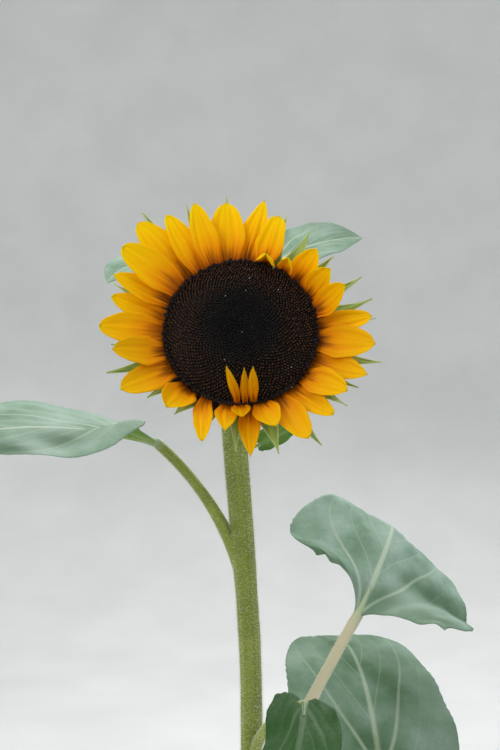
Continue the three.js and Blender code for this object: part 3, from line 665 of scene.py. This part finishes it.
budTemplate = template("budTemplate", [(0, 0), (0.5, 0), (0.62, 0.7), (0.5, 1.5), (0.22, 1.95), (0, 2.05)])
floretTemplate = template("floretTemplate", [
    (0, 0), (0.4, 0), (0.5, 1.2), (0.66, 2.0), (0.46, 2.05), (0.42, 2.7), (0.3, 3.0), (0, 3.1)])
rimTemplate = template("rimTemplate", [(0, 0), (0.6, 0), (0.95, 1.0), (0.9, 1.9), (0.5, 2.7), (0, 3.0)])
goldenAngle = math.radians(137.508)  # from one floret to the next
disc = {"total": 2200, "buds": 560, "rimFrom": 2030, "spread": 0.985, "sway": 0.12, "least": 0.8,
        "most": 1.15}


def makeSpiralTree():
    # florets set on the dome in the spiral of a seed head, each leaning outwards with its place
    tree, add, given = newTree(
        "floretSpiral", Int="First Count Total Seed", Float="Radius Wall Rise Dimple Lean Size Sink",
        Object="Template", Material="Finish")
    index = add("GeometryNodeInputIndex")
    number = add("Math", index, given["First"], operation="ADD")
    centred = add("Math", number, 0.5, operation="ADD")
    share = add("Math", centred, given["Total"], operation="DIVIDE")
    out = add("Math", share, operation="SQRT")  # share of the radius
    angle = add("Math", number, goldenAngle, operation="MULTIPLY")
    cosine = add("Math", angle, operation="COSINE")
    sine = add("Math", angle, operation="SINE")
    radius = add("Math", out, given["Radius"], operation="MULTIPLY")
    x = add("Math", radius, cosine, operation="MULTIPLY")
    y = add("Math", radius, sine, operation="MULTIPLY")
    power = add("Math", out, head["doming"], operation="POWER")
    fall = add("Math", 1.0, power, operation="SUBTRACT")
    domed = add("Math", fall, given["Rise"], given["Wall"], operation="MULTIPLY_ADD")
    inner = add("Math", out, head["hollow"], operation="DIVIDE")
    square = add("Math", inner, inner, operation="MULTIPLY")
    minus = add("Math", square, -1.0, operation="MULTIPLY")
    bell = add("Math", minus, operation="EXPONENT")
    dip = add("Math", bell, given["Dimple"], operation="MULTIPLY")
    level = add("Math", domed, dip, operation="SUBTRACT")
    z = add("Math", level, given["Sink"], operation="SUBTRACT")
    spot = add("CombineXYZ", x, y, z)
    dots = add("GeometryNodePoints", given["Count"], spot)
    steep = add("Math", out, given["Lean"], operation="MULTIPLY")
    leanX = add("Math", steep, cosine, operation="MULTIPLY")
    leanY = add("Math", steep, sine, operation="MULTIPLY")
    lean = add("CombineXYZ", leanX, leanY, 1.0)
    facing = add("FunctionNodeAlignRotationToVector", Vector=lean, axis="Z")
    shape = add("GeometryNodeObjectInfo", given["Template"]).outputs["Geometry"]
    sway = disc["sway"]
    copies = strewn(add, dots, shape, facing, given["Seed"], (-sway, -sway, 0.0), (sway, sway, 6.28),
                    disc["least"], disc["most"], given["Size"])
    ripe = add("GeometryNodeStoreNamedAttribute", copies, Name="ripe", Value=out,
               data_type="FLOAT", domain="INSTANCE")
    luck = add("FunctionNodeRandomValue", 0.0, 1.0, Seed=3, data_type="FLOAT")
    mottle = add("GeometryNodeStoreNamedAttribute", ripe, Name="mottle", Value=luck,
                 data_type="FLOAT", domain="INSTANCE")
    ended(add, mottle, given["Finish"])
    return tree


spiral = makeSpiralTree()
domeForm = {"Total": disc["total"], "Radius": head["radius"] * disc["spread"] * mm, "Wall": head["wall"] * mm,
            "Rise": head["rise"] * mm, "Dimple": head["dimple"] * mm, "Seed": 5}
# name, template, finish, first and last floret, lean, size, sink in mm
florets = [
    ("discBuds", budTemplate, bud, 0, disc["buds"], 0.25, 0.8, 1.5),
    ("discFlorets", floretTemplate, floret, disc["buds"], disc["rimFrom"], 0.6, 0.8, 1.7),
    ("discRim", rimTemplate, rimFloret, disc["rimFrom"], disc["total"], 1.15, 1.08, 1.6),
]
for name, shape, finish, first, last, lean, size, sink in florets:
    piece = grow(name, spiral, {**domeForm, "Template": shape, "Finish": finish, "First": first,
                                "Count": last - first, "Lean": lean, "Size": size, "Sink": sink * mm})
    piece.data.transform(headPlace)
    piece.data.shade_smooth()
    place(piece, "disc")
for shape in (budTemplate, floretTemplate, rimTemplate):
    bpy.data.objects.remove(shape)
print("disc made")

# Stem and neck
stem = {"neckStart": 742.0, "low": 8, "high": 5.9, "swell": 0.75, "flare": 3.2, "flareHeight": 22.0,
        "rings": 240, "sides": 72, "ribs": 13, "rib": 0.01, "lumps": 0.012}
stemKnots = np.array([[-0.2, -0.2, -12], [0, 0, 0], [2, 2, 130], [3, 4, 280], [-1, 4, 430], [0, 0, 560],
                      [-1, -2, 628], [-4.6, -4, 683], [-9.3, -5, 742]], float)


def stemAt(height):  # the middle of the stem, smooth through its knots
    height = np.asarray(height, float)
    z = stemKnots[:, 2]
    k = np.clip(np.searchsorted(z, height, side="right") - 1, 0, len(z) - 2)
    slope = np.gradient(stemKnots[:, :2], z, axis=0)
    span = z[k + 1] - z[k]
    t = ((height - z[k]) / span)[..., None]
    a, b = stemKnots[k, :2], stemKnots[k + 1, :2]
    ma, mb = slope[k] * span[..., None], slope[k + 1] * span[..., None]
    flat = ((2 * t ** 3 - 3 * t ** 2 + 1) * a + (t ** 3 - 2 * t ** 2 + t) * ma
            + (3 * t ** 2 - 2 * t ** 3) * b + (t ** 3 - t ** 2) * mb)
    return np.concatenate([flat, height[..., None]], -1)


def stemRadius(height):
    share = height / stem["neckStart"]
    taper = mix(stem["low"], stem["high"], smooth(share, 0, 0.8))
    flare = stem["flare"] * np.exp(-np.maximum(0, height) / stem["flareHeight"])
    return taper + stem["swell"] * smooth(share, 0.84, 1) + flare


def streaks(seed, angle, along):  # lengthwise streaks that close up round a limb
    count = 5
    random = np.random.default_rng(seed)
    total = np.zeros(np.broadcast(angle, along).shape)
    for _ in range(count):
        turns = int(random.integers(3, 17))
        total += np.cos(turns * angle + random.uniform(0, 6.28) + along * random.uniform(-0.01, 0.01))
    return total / count ** 0.5


heights = np.linspace(0, stem["neckStart"], stem["rings"])[:, None]
around = np.broadcast_to(circle(stem["sides"]), (stem["rings"], stem["sides"]))
ribbed = (1 + stem["rib"] * np.cos(stem["ribs"] * around)
          + stem["lumps"] * unevenness(8, around * 0, heights / 40))
points, faces, fields = tube(stemAt(heights[:, 0]), stemRadius(heights) * ribbed,
                             {"streak": streaks(4, around, heights)})
points[:, 2] = np.maximum(points[:, 2], 0)  # a flat cut at the ground
stemPiece = place(makeMesh("stemBody", points, faces, fields, [stemSkin]), "stem", "stem")

neck = {"low": 6.65, "high": 9, "leave": 34, "arrive": 20, "seated": 1.5, "long": 90, "rings": 60}
onwards = unit(stemKnots[-1] - stemKnots[-2])
back = headCentre - headNormal * (head["backDepth"] + head["gap"])
foot = stemKnots[-1]
corners = [foot, foot + onwards * neck["leave"], back - headNormal * neck["arrive"],
           back + headNormal * neck["seated"]]
t = np.linspace(0, 1, neck["rings"])[:, None]
line = ((1 - t) ** 3 * corners[0] + 3 * (1 - t) ** 2 * t * corners[1]
        + 3 * (1 - t) * t ** 2 * corners[2] + t ** 3 * corners[3])
around = np.broadcast_to(circle(stem["sides"]), (neck["rings"], stem["sides"]))
radius = mix(neck["low"], neck["high"], t ** 2.2) * (1 + stem["rib"] * np.cos(stem["ribs"] * around))
points, faces, fields = tube(line, radius, {
    "streak": streaks(4, around, stem["neckStart"] + neck["long"] * t)})
neckPiece = place(makeMesh("neckBody", points, faces, fields, [stemSkin]), "stem", "neck")
print("stem made")

# Leaves, each on its stalk
stalkForm = {"steps": 10, "rings": 90, "extra": 16, "sides": 28, "merge": 0.16, "taper": 0.66, "ribs": 6,
             "rib": 0.03, "lumps": 11, "lump": 0.015}
leafForm = {"rows": 100, "columns": 83, "sheet": 0.55, "tooth": 0.012, "teeth": 26, "sweep": 0.72,
            "spacing": 0.2, "quilt": 0.8}
# A pair of numbers is for the leaf's foot and tip, or for the right and left of its midrib.
habit = {"hook": 1.3, "shoulder": (0.62, 0.62), "waist": (0, 0), "ease": 0.3, "twist": 0,
         "pale": 0, "shadePatches": ()}
# each leaf's shade figure is painted shade: how far its green goes over into the deep shaded green
leaves = [{**habit, **leaf} for leaf in [
    {"name": "lowest", "limb": 3.1, "height": 150, "heading": 342, "stalk": 74, "rise": (40, 12),
     "long": 105, "wide": 78, "turn": (342, 350), "pitch": (-4, -52), "roll": 0, "fold": (14, 14),
     "spread": (-8, -6), "lobe": (0.14, 0.14), "wave": 4, "paintedShade": 0.3},
    {"name": "low_left", "limb": 4.1, "height": 215, "heading": 205, "stalk": 100, "rise": (42, 14),
     "long": 140, "wide": 112, "turn": (205, 195), "pitch": (2, -50), "roll": 4, "fold": (18, 16),
     "spread": (-6, -8), "lobe": (0.15, 0.15), "wave": 5, "paintedShade": 0.35},
    {"name": "low_back", "limb": 4.7, "height": 282, "heading": 90, "stalk": 115, "rise": (44, 18),
     "long": 160, "wide": 130, "turn": (90, 98), "pitch": (6, -48), "roll": -4, "fold": (16, 18),
     "spread": (-6, -6), "lobe": (0.16, 0.16), "wave": 6, "paintedShade": 0.3},
    {"name": "middle_front", "limb": 4.85, "height": 345, "heading": 268, "stalk": 112, "rise": (44, 12),
     "long": 165, "wide": 134, "turn": (268, 260), "pitch": (2, -54), "roll": 5, "fold": (16, 16),
     "spread": (-8, -4), "lobe": (0.16, 0.16), "wave": 6, "paintedShade": 0.4},
    {"name": "middle_left", "limb": 4.7, "height": 390, "heading": 158, "stalk": 112, "rise": (44, 16),
     "long": 160, "wide": 128, "turn": (158, 168), "pitch": (4, -52), "roll": -6, "fold": (16, 16),
     "spread": (-6, -6), "lobe": (0.14, 0.14), "wave": 6, "paintedShade": 0.3},
    {"name": "broad_right", "limb": 4.85, "height": 432, "heading": 41, "stalk": 140, "rise": (52, 34),
     "long": 165, "wide": 112, "turn": (92, 112), "pitch": (48, -44), "hook": 2, "roll": 4, "fold": (12, 12),
     "spread": (-4, -4), "lobe": (0.08, 0.08), "wave": 5, "paintedShade": 0.35},
    {"name": "high_right", "limb": 4.7, "height": 534, "heading": 37, "stalk": 124, "rise": (58, 48),
     "long": 118, "wide": 125, "turn": (40, 102), "pitch": (52, -53), "hook": 1.9, "roll": 36,
     "fold": (40, 30), "spread": (-17, -24), "lobe": (-0.04, -0.17), "shoulder": (0.8, 0.54), "wave": 5,
     "paintedShade": 0.05, "pale": 0.85,
     "shadePatches": ((0.2, 0.12, 0.1, 0.45), (0.6, 0.3, 0.12, 0.4), (0.8, 0.05, 0.05, 0.6))},
    {"name": "front_right", "limb": 3.1, "height": 572, "heading": 293, "stalk": 76, "rise": (54, 16),
     "long": 104, "wide": 42, "turn": (266, 255), "pitch": (0, -82), "hook": 2.4, "roll": 14,
     "fold": (12, 10), "spread": (-20, -19), "lobe": (0.18, 0.06), "shoulder": (0.62, 0.3), "wave": 3,
     "paintedShade": 0.95},
    {"name": "upper_left", "limb": 4.15, "height": 674, "heading": 184, "stalk": 79, "rise": (71, 41),
     "long": 147, "wide": 92, "turn": (206, 231), "pitch": (13.5, -24), "hook": 1.5, "roll": -23,
     "fold": (-18, 61), "spread": (-7, -6), "lobe": (-0.03, -0.13), "shoulder": (0.85, 0.58),
     "waist": (-0.18, 0.06), "wave": 1, "ease": 0.49, "twist": 13.5, "paintedShade": 0.05,
     "shadePatches": ((-0.45, 0.42, 0.13, 0.65), (-0.75, 0.66, 0.09, 0.6), (0.45, 0.55, 0.12, 0.25))},
    {"name": "behind_left", "limb": 2.1, "height": 700, "heading": 112, "stalk": 134, "rise": (72, 60),
     "long": 70, "wide": 58.5, "turn": (183, 228), "pitch": (33.5, -57), "hook": 2.1, "roll": -23,
     "fold": (10, 10), "spread": (-12, -10), "lobe": (0.08, 0.08), "shoulder": (0.5, 0.59), "wave": 2,
     "paintedShade": 0},
    {"name": "behind_right", "limb": 1.8, "height": 716, "heading": 74, "stalk": 131.5, "rise": (72, 64),
     "long": 60.5, "wide": 58.5, "turn": (-14, 1), "pitch": (33.5, -1), "hook": 1.1, "roll": 37.5,
     "fold": (10, 10), "spread": (19, 6), "lobe": (0.06, 0.06), "shoulder": (0.56, 0.31), "wave": 2,
     "paintedShade": 0},
    {"name": "neck_right", "limb": 1.1, "height": 735, "heading": 10, "stalk": 8, "rise": (30, 26),
     "long": 27, "wide": 19, "turn": (8, 20), "pitch": (26, 22), "roll": -46, "fold": (16, 16),
     "spread": (4, 0), "lobe": (0.06, 0.06), "wave": 1, "paintedShade": 0.6},
]]


def stalkLine(leaf, steps):  # from the middle of the stem to the foot of the blade
    inside = float(stemRadius(leaf["height"])) / 2
    first, last = leaf["rise"]
    way, steep = math.radians(leaf["heading"]), math.radians(first)
    hidden = inside / math.cos(steep)
    reach = hidden + inside + leaf["stalk"]
    start = stemAt(leaf["height"] - inside * math.tan(steep))
    shares = (np.arange(steps) + 0.5) / steps
    grown = np.maximum(0, (shares * reach - hidden) / (reach - hidden))
    ahead = direction(np.full(steps, way), np.radians(mix(first, last, grown)))
    return np.vstack([start, start + np.cumsum(ahead, 0) * reach / steps])


def bladeWay(leaf):  # the blade's heading, its direction and its middle line, each by the share of its length
    def heading(share):
        return np.radians(mix(leaf["turn"][0], leaf["turn"][1], share))

    def ahead(share):
        pitch = mix(leaf["pitch"][0], leaf["pitch"][1], share ** leaf["hook"])
        return direction(heading(share), np.radians(pitch))

    return heading, ahead, walked(stalkLine(leaf, stalkForm["steps"])[-1], ahead, leaf["long"])


def stalkParts(leaf, number):
    form = stalkForm
    rings, extra, sides = form["rings"], form["extra"], form["sides"]
    end = stalkLine(leaf, form["steps"])[-1]
    line = stalkLine(leaf, rings - 1)
    share = np.linspace(0, 1, rings)[:, None]
    line = line + (end - line[-1]) * share
    taper = leaf["limb"] * mix(1, form["taper"], np.minimum(1, share * 1.5)) + 0.9 * np.exp(-share * 9)
    radius = taper * mix(0.5, 1, smooth(share, 0, 0.12))
    rib = np.linspace(0, 1, extra + 1)[1:]  # runs on into the blade's midrib
    line = np.vstack([line, bladeWay(leaf)[2](rib * form["merge"])])
    radius = np.vstack([radius, (radius[-1] * mix(1, 0.25, rib ** 0.7))[:, None]])
    share = np.concatenate([share, 1 + rib[:, None] * 0.1])
    around = np.broadcast_to(circle(sides), (len(line), sides))
    ribs = (form["rib"] * np.cos(form["ribs"] * around)
            + form["lump"] * np.cos(form["lumps"] * around + share * 3))
    return tube(line, radius * (1 + ribs), {
        "streak": streaks(number + 30, around, share * 100),
        "pale": np.full(around.shape, leaf["pale"]), "midrib": smooth(share, 0.93, 1.04),
        # the leaf's painted shade, carried onto the stalk where it runs into the midrib
        "paintedShade": np.full(around.shape, leaf["paintedShade"])})


def leafParts(leaf, number):
    form = leafForm
    v = np.linspace(0, 1, form["rows"])
    s = np.linspace(-1, 1, form["columns"])
    u = s * (0.55 + 0.45 * np.abs(s))  # closer columns towards the midrib
    v, u = np.meshgrid(v, u, indexing="ij")
    long, wide = leaf["long"], leaf["wide"]

    heading, ahead, line = bladeWay(leaf)
    forward = ahead(v)
    level = np.stack([np.sin(heading(v)), -np.cos(heading(v)), 0 * v], -1)
    right = turned(level, forward, np.radians(leaf["roll"] + leaf["twist"] * v))
    over = np.cross(right, forward)
    out = np.abs(u)
    pick = (u < 0).astype(int)  # 1 on the left of the midrib
    fold, spread, lobe, shoulder, waist = (
        np.array(leaf[key], float)[pick] for key in ("fold", "spread", "lobe", "shoulder", "waist"))
    breadth = shoulder + (3 - 2 * shoulder) * v
    narrowed = 1 - waist * np.exp(-(((v - 0.4) / 0.13) ** 2))
    outline = 1.22 * np.maximum(0.006, (1 - v) ** 1.02 * breadth) * narrowed
    teeth = v * form["teeth"] + 0.2 * pick + 0.15 * unevenness(number + 3, np.sign(u), v * 4)
    saw = np.abs(teeth % 1 - 0.3)
    tooth = form["tooth"] * (1 - 2 * saw) * (0.7 + 0.5 * unevenness(number + 9, np.sign(u), v * 6))
    lumpy = 0.02 * unevenness(number + 17, np.sign(u) * 2, v * 2)
    corner = smooth(out, 0.55, 1) * (1 - smooth(v, 0, 0.14))  # rounds the ears off
    half = wide / 2 * outline * (1 + (tooth + lumpy) * smooth(out, 0.55, 1) - 0.08 * corner)
    hold = mix(fold, spread, smooth(v, 0, leaf["ease"]))
    tilt = np.radians(hold * (1 - 0.4 * out) * (1 - v ** 3))
    sinus = np.maximum(0, (out - 0.07) / 0.93) ** 0.7
    ear = lobe * long * np.sin(math.pi * 0.72 * sinus) * (1 - v) ** 4
    ear = ear + 0.012 * long * np.cos(out * 19 + number) * smooth(out, 0.4, 0.9) * (1 - v) ** 14
    ear = ear - 0.035 * long * corner ** 2
    ripple = leaf["wave"] * out ** 2 * np.sin(9.5 * v + np.where(pick, 1.2, 3.4) + leaf["heading"])
    ripple = ripple + 0.3 * leaf["wave"] * out ** 3 * np.sin(31 * v + np.where(pick, 0.4, 2.1) + number)
    middle = (line(v) + right * (half * u * np.cos(tilt))[..., None]
              + over * (half * out * np.sin(tilt) + ripple * (1 - v))[..., None] - forward * ear[..., None])
    # veins: pairs that sweep forward from the midrib, the first pair from the very foot
    offset = 0.35 * smooth(v, 0.12, 0.4) * (u > 0)
    phase = (v - form["sweep"] * out) / form["spacing"] - offset
    du, dv = np.gradient(phase, axis=1), np.gradient(phase, axis=0)
    sideways, lengthways = np.gradient(middle, axis=1), np.gradient(middle, axis=0)
    a = np.sum(sideways * sideways, -1)
    b = np.sum(sideways * lengthways, -1)
    c = np.sum(lengthways * lengthways, -1)
    steep = (du * du * c - 2 * du * dv * b + dv * dv * a) / np.maximum(a * c - b * b, 1e-9)
    slope = np.sqrt(np.maximum(steep, 1e-9))
    gap = np.clip(1 / slope, 2, 40)  # millimetres from one vein to the next
    part = phase - np.round(phase)
    fromRib = half * u
    thin = np.minimum(1, gap / 14) * smooth(np.abs(fromRib), 1, 9) * mix(1, 0.35, smooth(out, 0.7, 1))
    quilt = form["quilt"] * long / 150 * np.sin(math.pi * part) ** 2 * thin
    quilt = quilt + 0.35 * unevenness(number + 33, u * 2.6, v * 2.6) * smooth(np.abs(fromRib), 1, 9)
    sunk = 0.35 * np.exp(-((fromRib / 1.3) ** 2)) * (1 - v)
    rib = 1.5 * long / 150 * (1 - v) ** 0.8 * np.exp(-((fromRib / (1.1 + 0.9 * (1 - v))) ** 2))
    main = np.where(np.round(phase) == 0, 1.0, 0.35)  # the pair of veins from the very foot stands out most
    branch = 0.9 * main * np.exp(-((part * gap / 1.1) ** 2)) * mix(1, 0.2, out) * (long / 150)
    above = form["sheet"] / 2 + quilt - sunk
    below = form["sheet"] / 2 - quilt + rib + branch
    rim = 1 - 0.5 * smooth(out, 0.96, 1)
    # painted shade: each leaf's own amount, with soft patches of more shade over the blade
    paintedShade = leaf["paintedShade"] + 0.3 * (1 - leaf["paintedShade"]) * np.clip(unevenness(number + 70, u * 0.6, v * 0.6), 0, 1)
    for spotU, spotV, size, depth in leaf["shadePatches"]:  # painted shade: a deeper green where the blade dips or its margin curls
        paintedShade = paintedShade + depth * np.exp(-((u - spotU) / 0.3) ** 2 - ((v - spotV) / size) ** 2)
    fields = {"phase": phase, "gap": gap, "fromRib": fromRib, "along": v, "across": u,
              "paintedShade": np.clip(paintedShade, 0, 1)}
    return shell(middle, above * rim, below * rim, fields)


stalkPieces = []
for number, leaf in enumerate(leaves):
    points, faces, fields = stalkParts(leaf, number)
    piece = makeMesh(f"petiole_{leaf['name']}", points, faces, fields, [stalkSkin])
    stalkPieces.append(place(piece, "stalk", f"stalk_{leaf['name']}"))
    points, faces, fields, side = leafParts(leaf, number)
    piece = makeMesh(f"blade_{leaf['name']}", points, faces, fields, [leafUpper, leafUnder], side)
    place(piece, "leaf", f"leaf_{leaf['name']}")
print("leaves made")


hairForm = {"bareFoot": 5.0, "bareRib": 0.3, "least": 0.45, "most": 1.25}


def makeHairTree():
    # short stiff hairs strewn over a skin, each a three-sided spike that leans at random
    tree, add, given = newTree("bristles", Geometry="Geometry", Float="Density Length Thickness Tilt",
                               Int="Seed", Material="Finish")
    height = add("SeparateXYZ", add("GeometryNodeInputPosition")).outputs["Z"]
    clear = add("Math", height, hairForm["bareFoot"] * mm, operation="GREATER_THAN")  # not at the cut
    midrib = add("GeometryNodeInputNamedAttribute", Name="midrib", data_type="FLOAT")
    bare = add("Math", midrib, hairForm["bareRib"], operation="LESS_THAN")  # nor where it joins the blade
    hairy = add("Math", clear, bare, operation="MULTIPLY")
    dots = add("GeometryNodeDistributePointsOnFaces", given["Geometry"], hairy,
               Density=given["Density"], Seed=given["Seed"], distribute_method="RANDOM")
    spike = add("GeometryNodeMeshCone", Vertices=3, Radius_Top=0.0, Radius_Bottom=given["Thickness"],
                Depth=given["Length"], fill_type="NONE")
    least = add("Math", given["Tilt"], -1.0, operation="MULTIPLY")
    low = add("CombineXYZ", least, least, 0.0)
    high = add("CombineXYZ", given["Tilt"], given["Tilt"], 6.28)
    copies = strewn(add, dots, spike, dots.outputs["Rotation"], given["Seed"], low, high,
                    hairForm["least"], hairForm["most"])
    ended(add, copies, given["Finish"])
    return tree


bristles = makeHairTree()
hairs = {"Thickness": 0.085 * mm, "Tilt": 0.6, "Finish": hair}
growth = {"stem": {"Density": 1.7e6, "Length": 1.3 * mm}, "stalk": {"Density": 1.5e6, "Length": 0.9 * mm}}
skins = [("stemHairs", stemPiece, "stem"), ("neckHairs", neckPiece, "stem")]
skins += [(f"hairs_{leaf['name']}", piece, "stalk") for leaf, piece in zip(leaves, stalkPieces)]
for seed, (name, skin, slotName) in enumerate(skins, 11):
    place(grow(name, bristles, {**hairs, **growth[slotName], "Seed": seed}, skin), slotName)
print("hairs made")

# Floor: a pale sweep that turns up into a wall on every side, with room for a camera all round
floorMaterial, add, cover = newMaterial("paintedFloor", Roughness=0.85, Specular_IOR_Level=0.2)
where = add("TexCoord").outputs["Object"]
cloud = add("TexNoise", where, 4.0, 3.0)
pale = add("ValToRGB", cloud, stops=[(0.3, "#d6d7d5"), (0.7, "#dedfdd")])
bump = add("Bump", 0.05, 0.001, Height=cloud)
cover(Base_Color=pale, Normal=bump)

sweep = {"flat": 2200.0, "bend": 1800.0, "top": 5200.0, "sides": 96}
bendAngles = np.linspace(0, math.pi / 2, 24)
outline = [(0.1, 0.0)] + [(sweep["flat"] + sweep["bend"] * math.sin(a), sweep["bend"] * (1 - math.cos(a)))
                          for a in bendAngles] + [(sweep["flat"] + sweep["bend"], sweep["top"])]
points = np.array([(r * math.cos(a), r * math.sin(a), z) for r, z in outline for a in circle(sweep["sides"])])
faces = ringFaces(len(outline), sweep["sides"], closed=False)
floor = makeMesh("paleFloor", points, faces, {}, [floorMaterial])
floor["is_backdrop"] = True

world = bpy.data.worlds.new("softSky")
bpy.context.scene.world = world
world.use_nodes = True
wire(world.node_tree, world.node_tree.nodes["Background"], "#eef3fa", 0.73)

aim = Vector((0, 0, 0.7))  # what every lamp points at
lamps = {  # spot, size, power, colour
    "overhead": ((-0.4, -0.3, 3.4), 2.2, 24, "#ffffff"), "keySide": ((-1.9, -1.7, 1.8), 1.6, 28, "#fff8ee"),
    "fillSide": ((2.0, -1.2, 1.4), 1.6, 8, "#f2f6ff"), "behind": ((0.6, 2.1, 2.4), 1.6, 44, "#ffffff")}
for name, (spot, size, power, colour) in lamps.items():
    light = bpy.data.lights.new(name, "AREA")
    light.shape = "DISK"
    light.size = size
    light.energy = power
    light.color = srgb(colour)[:3]
    lamp = bpy.data.objects.new(name, light)
    lamp.location = spot
    lamp.rotation_mode = "QUATERNION"
    lamp.rotation_quaternion = (aim - Vector(spot)).to_track_quat("-Z", "Y")
    bpy.context.scene.collection.objects.link(lamp)

camera = bpy.data.cameras.new("camera")
camera.lens = 50
camera.sensor_width = 36
bpy.context.scene.view_settings.view_transform = "Standard"  # keeps the rays' pure yellow
viewer = bpy.data.objects.new("camera", camera)
viewer.location = (-0.001, -0.571, 0.778)
viewer.rotation_euler = (math.radians(90), 0, 0)
bpy.context.scene.collection.objects.link(viewer)
bpy.context.scene.camera = viewer
print("stage made")

total = sum(sum(len(f.vertices) - 2 for f in o.data.polygons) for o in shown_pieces() if o.type == "MESH")
print("triangles:", total)
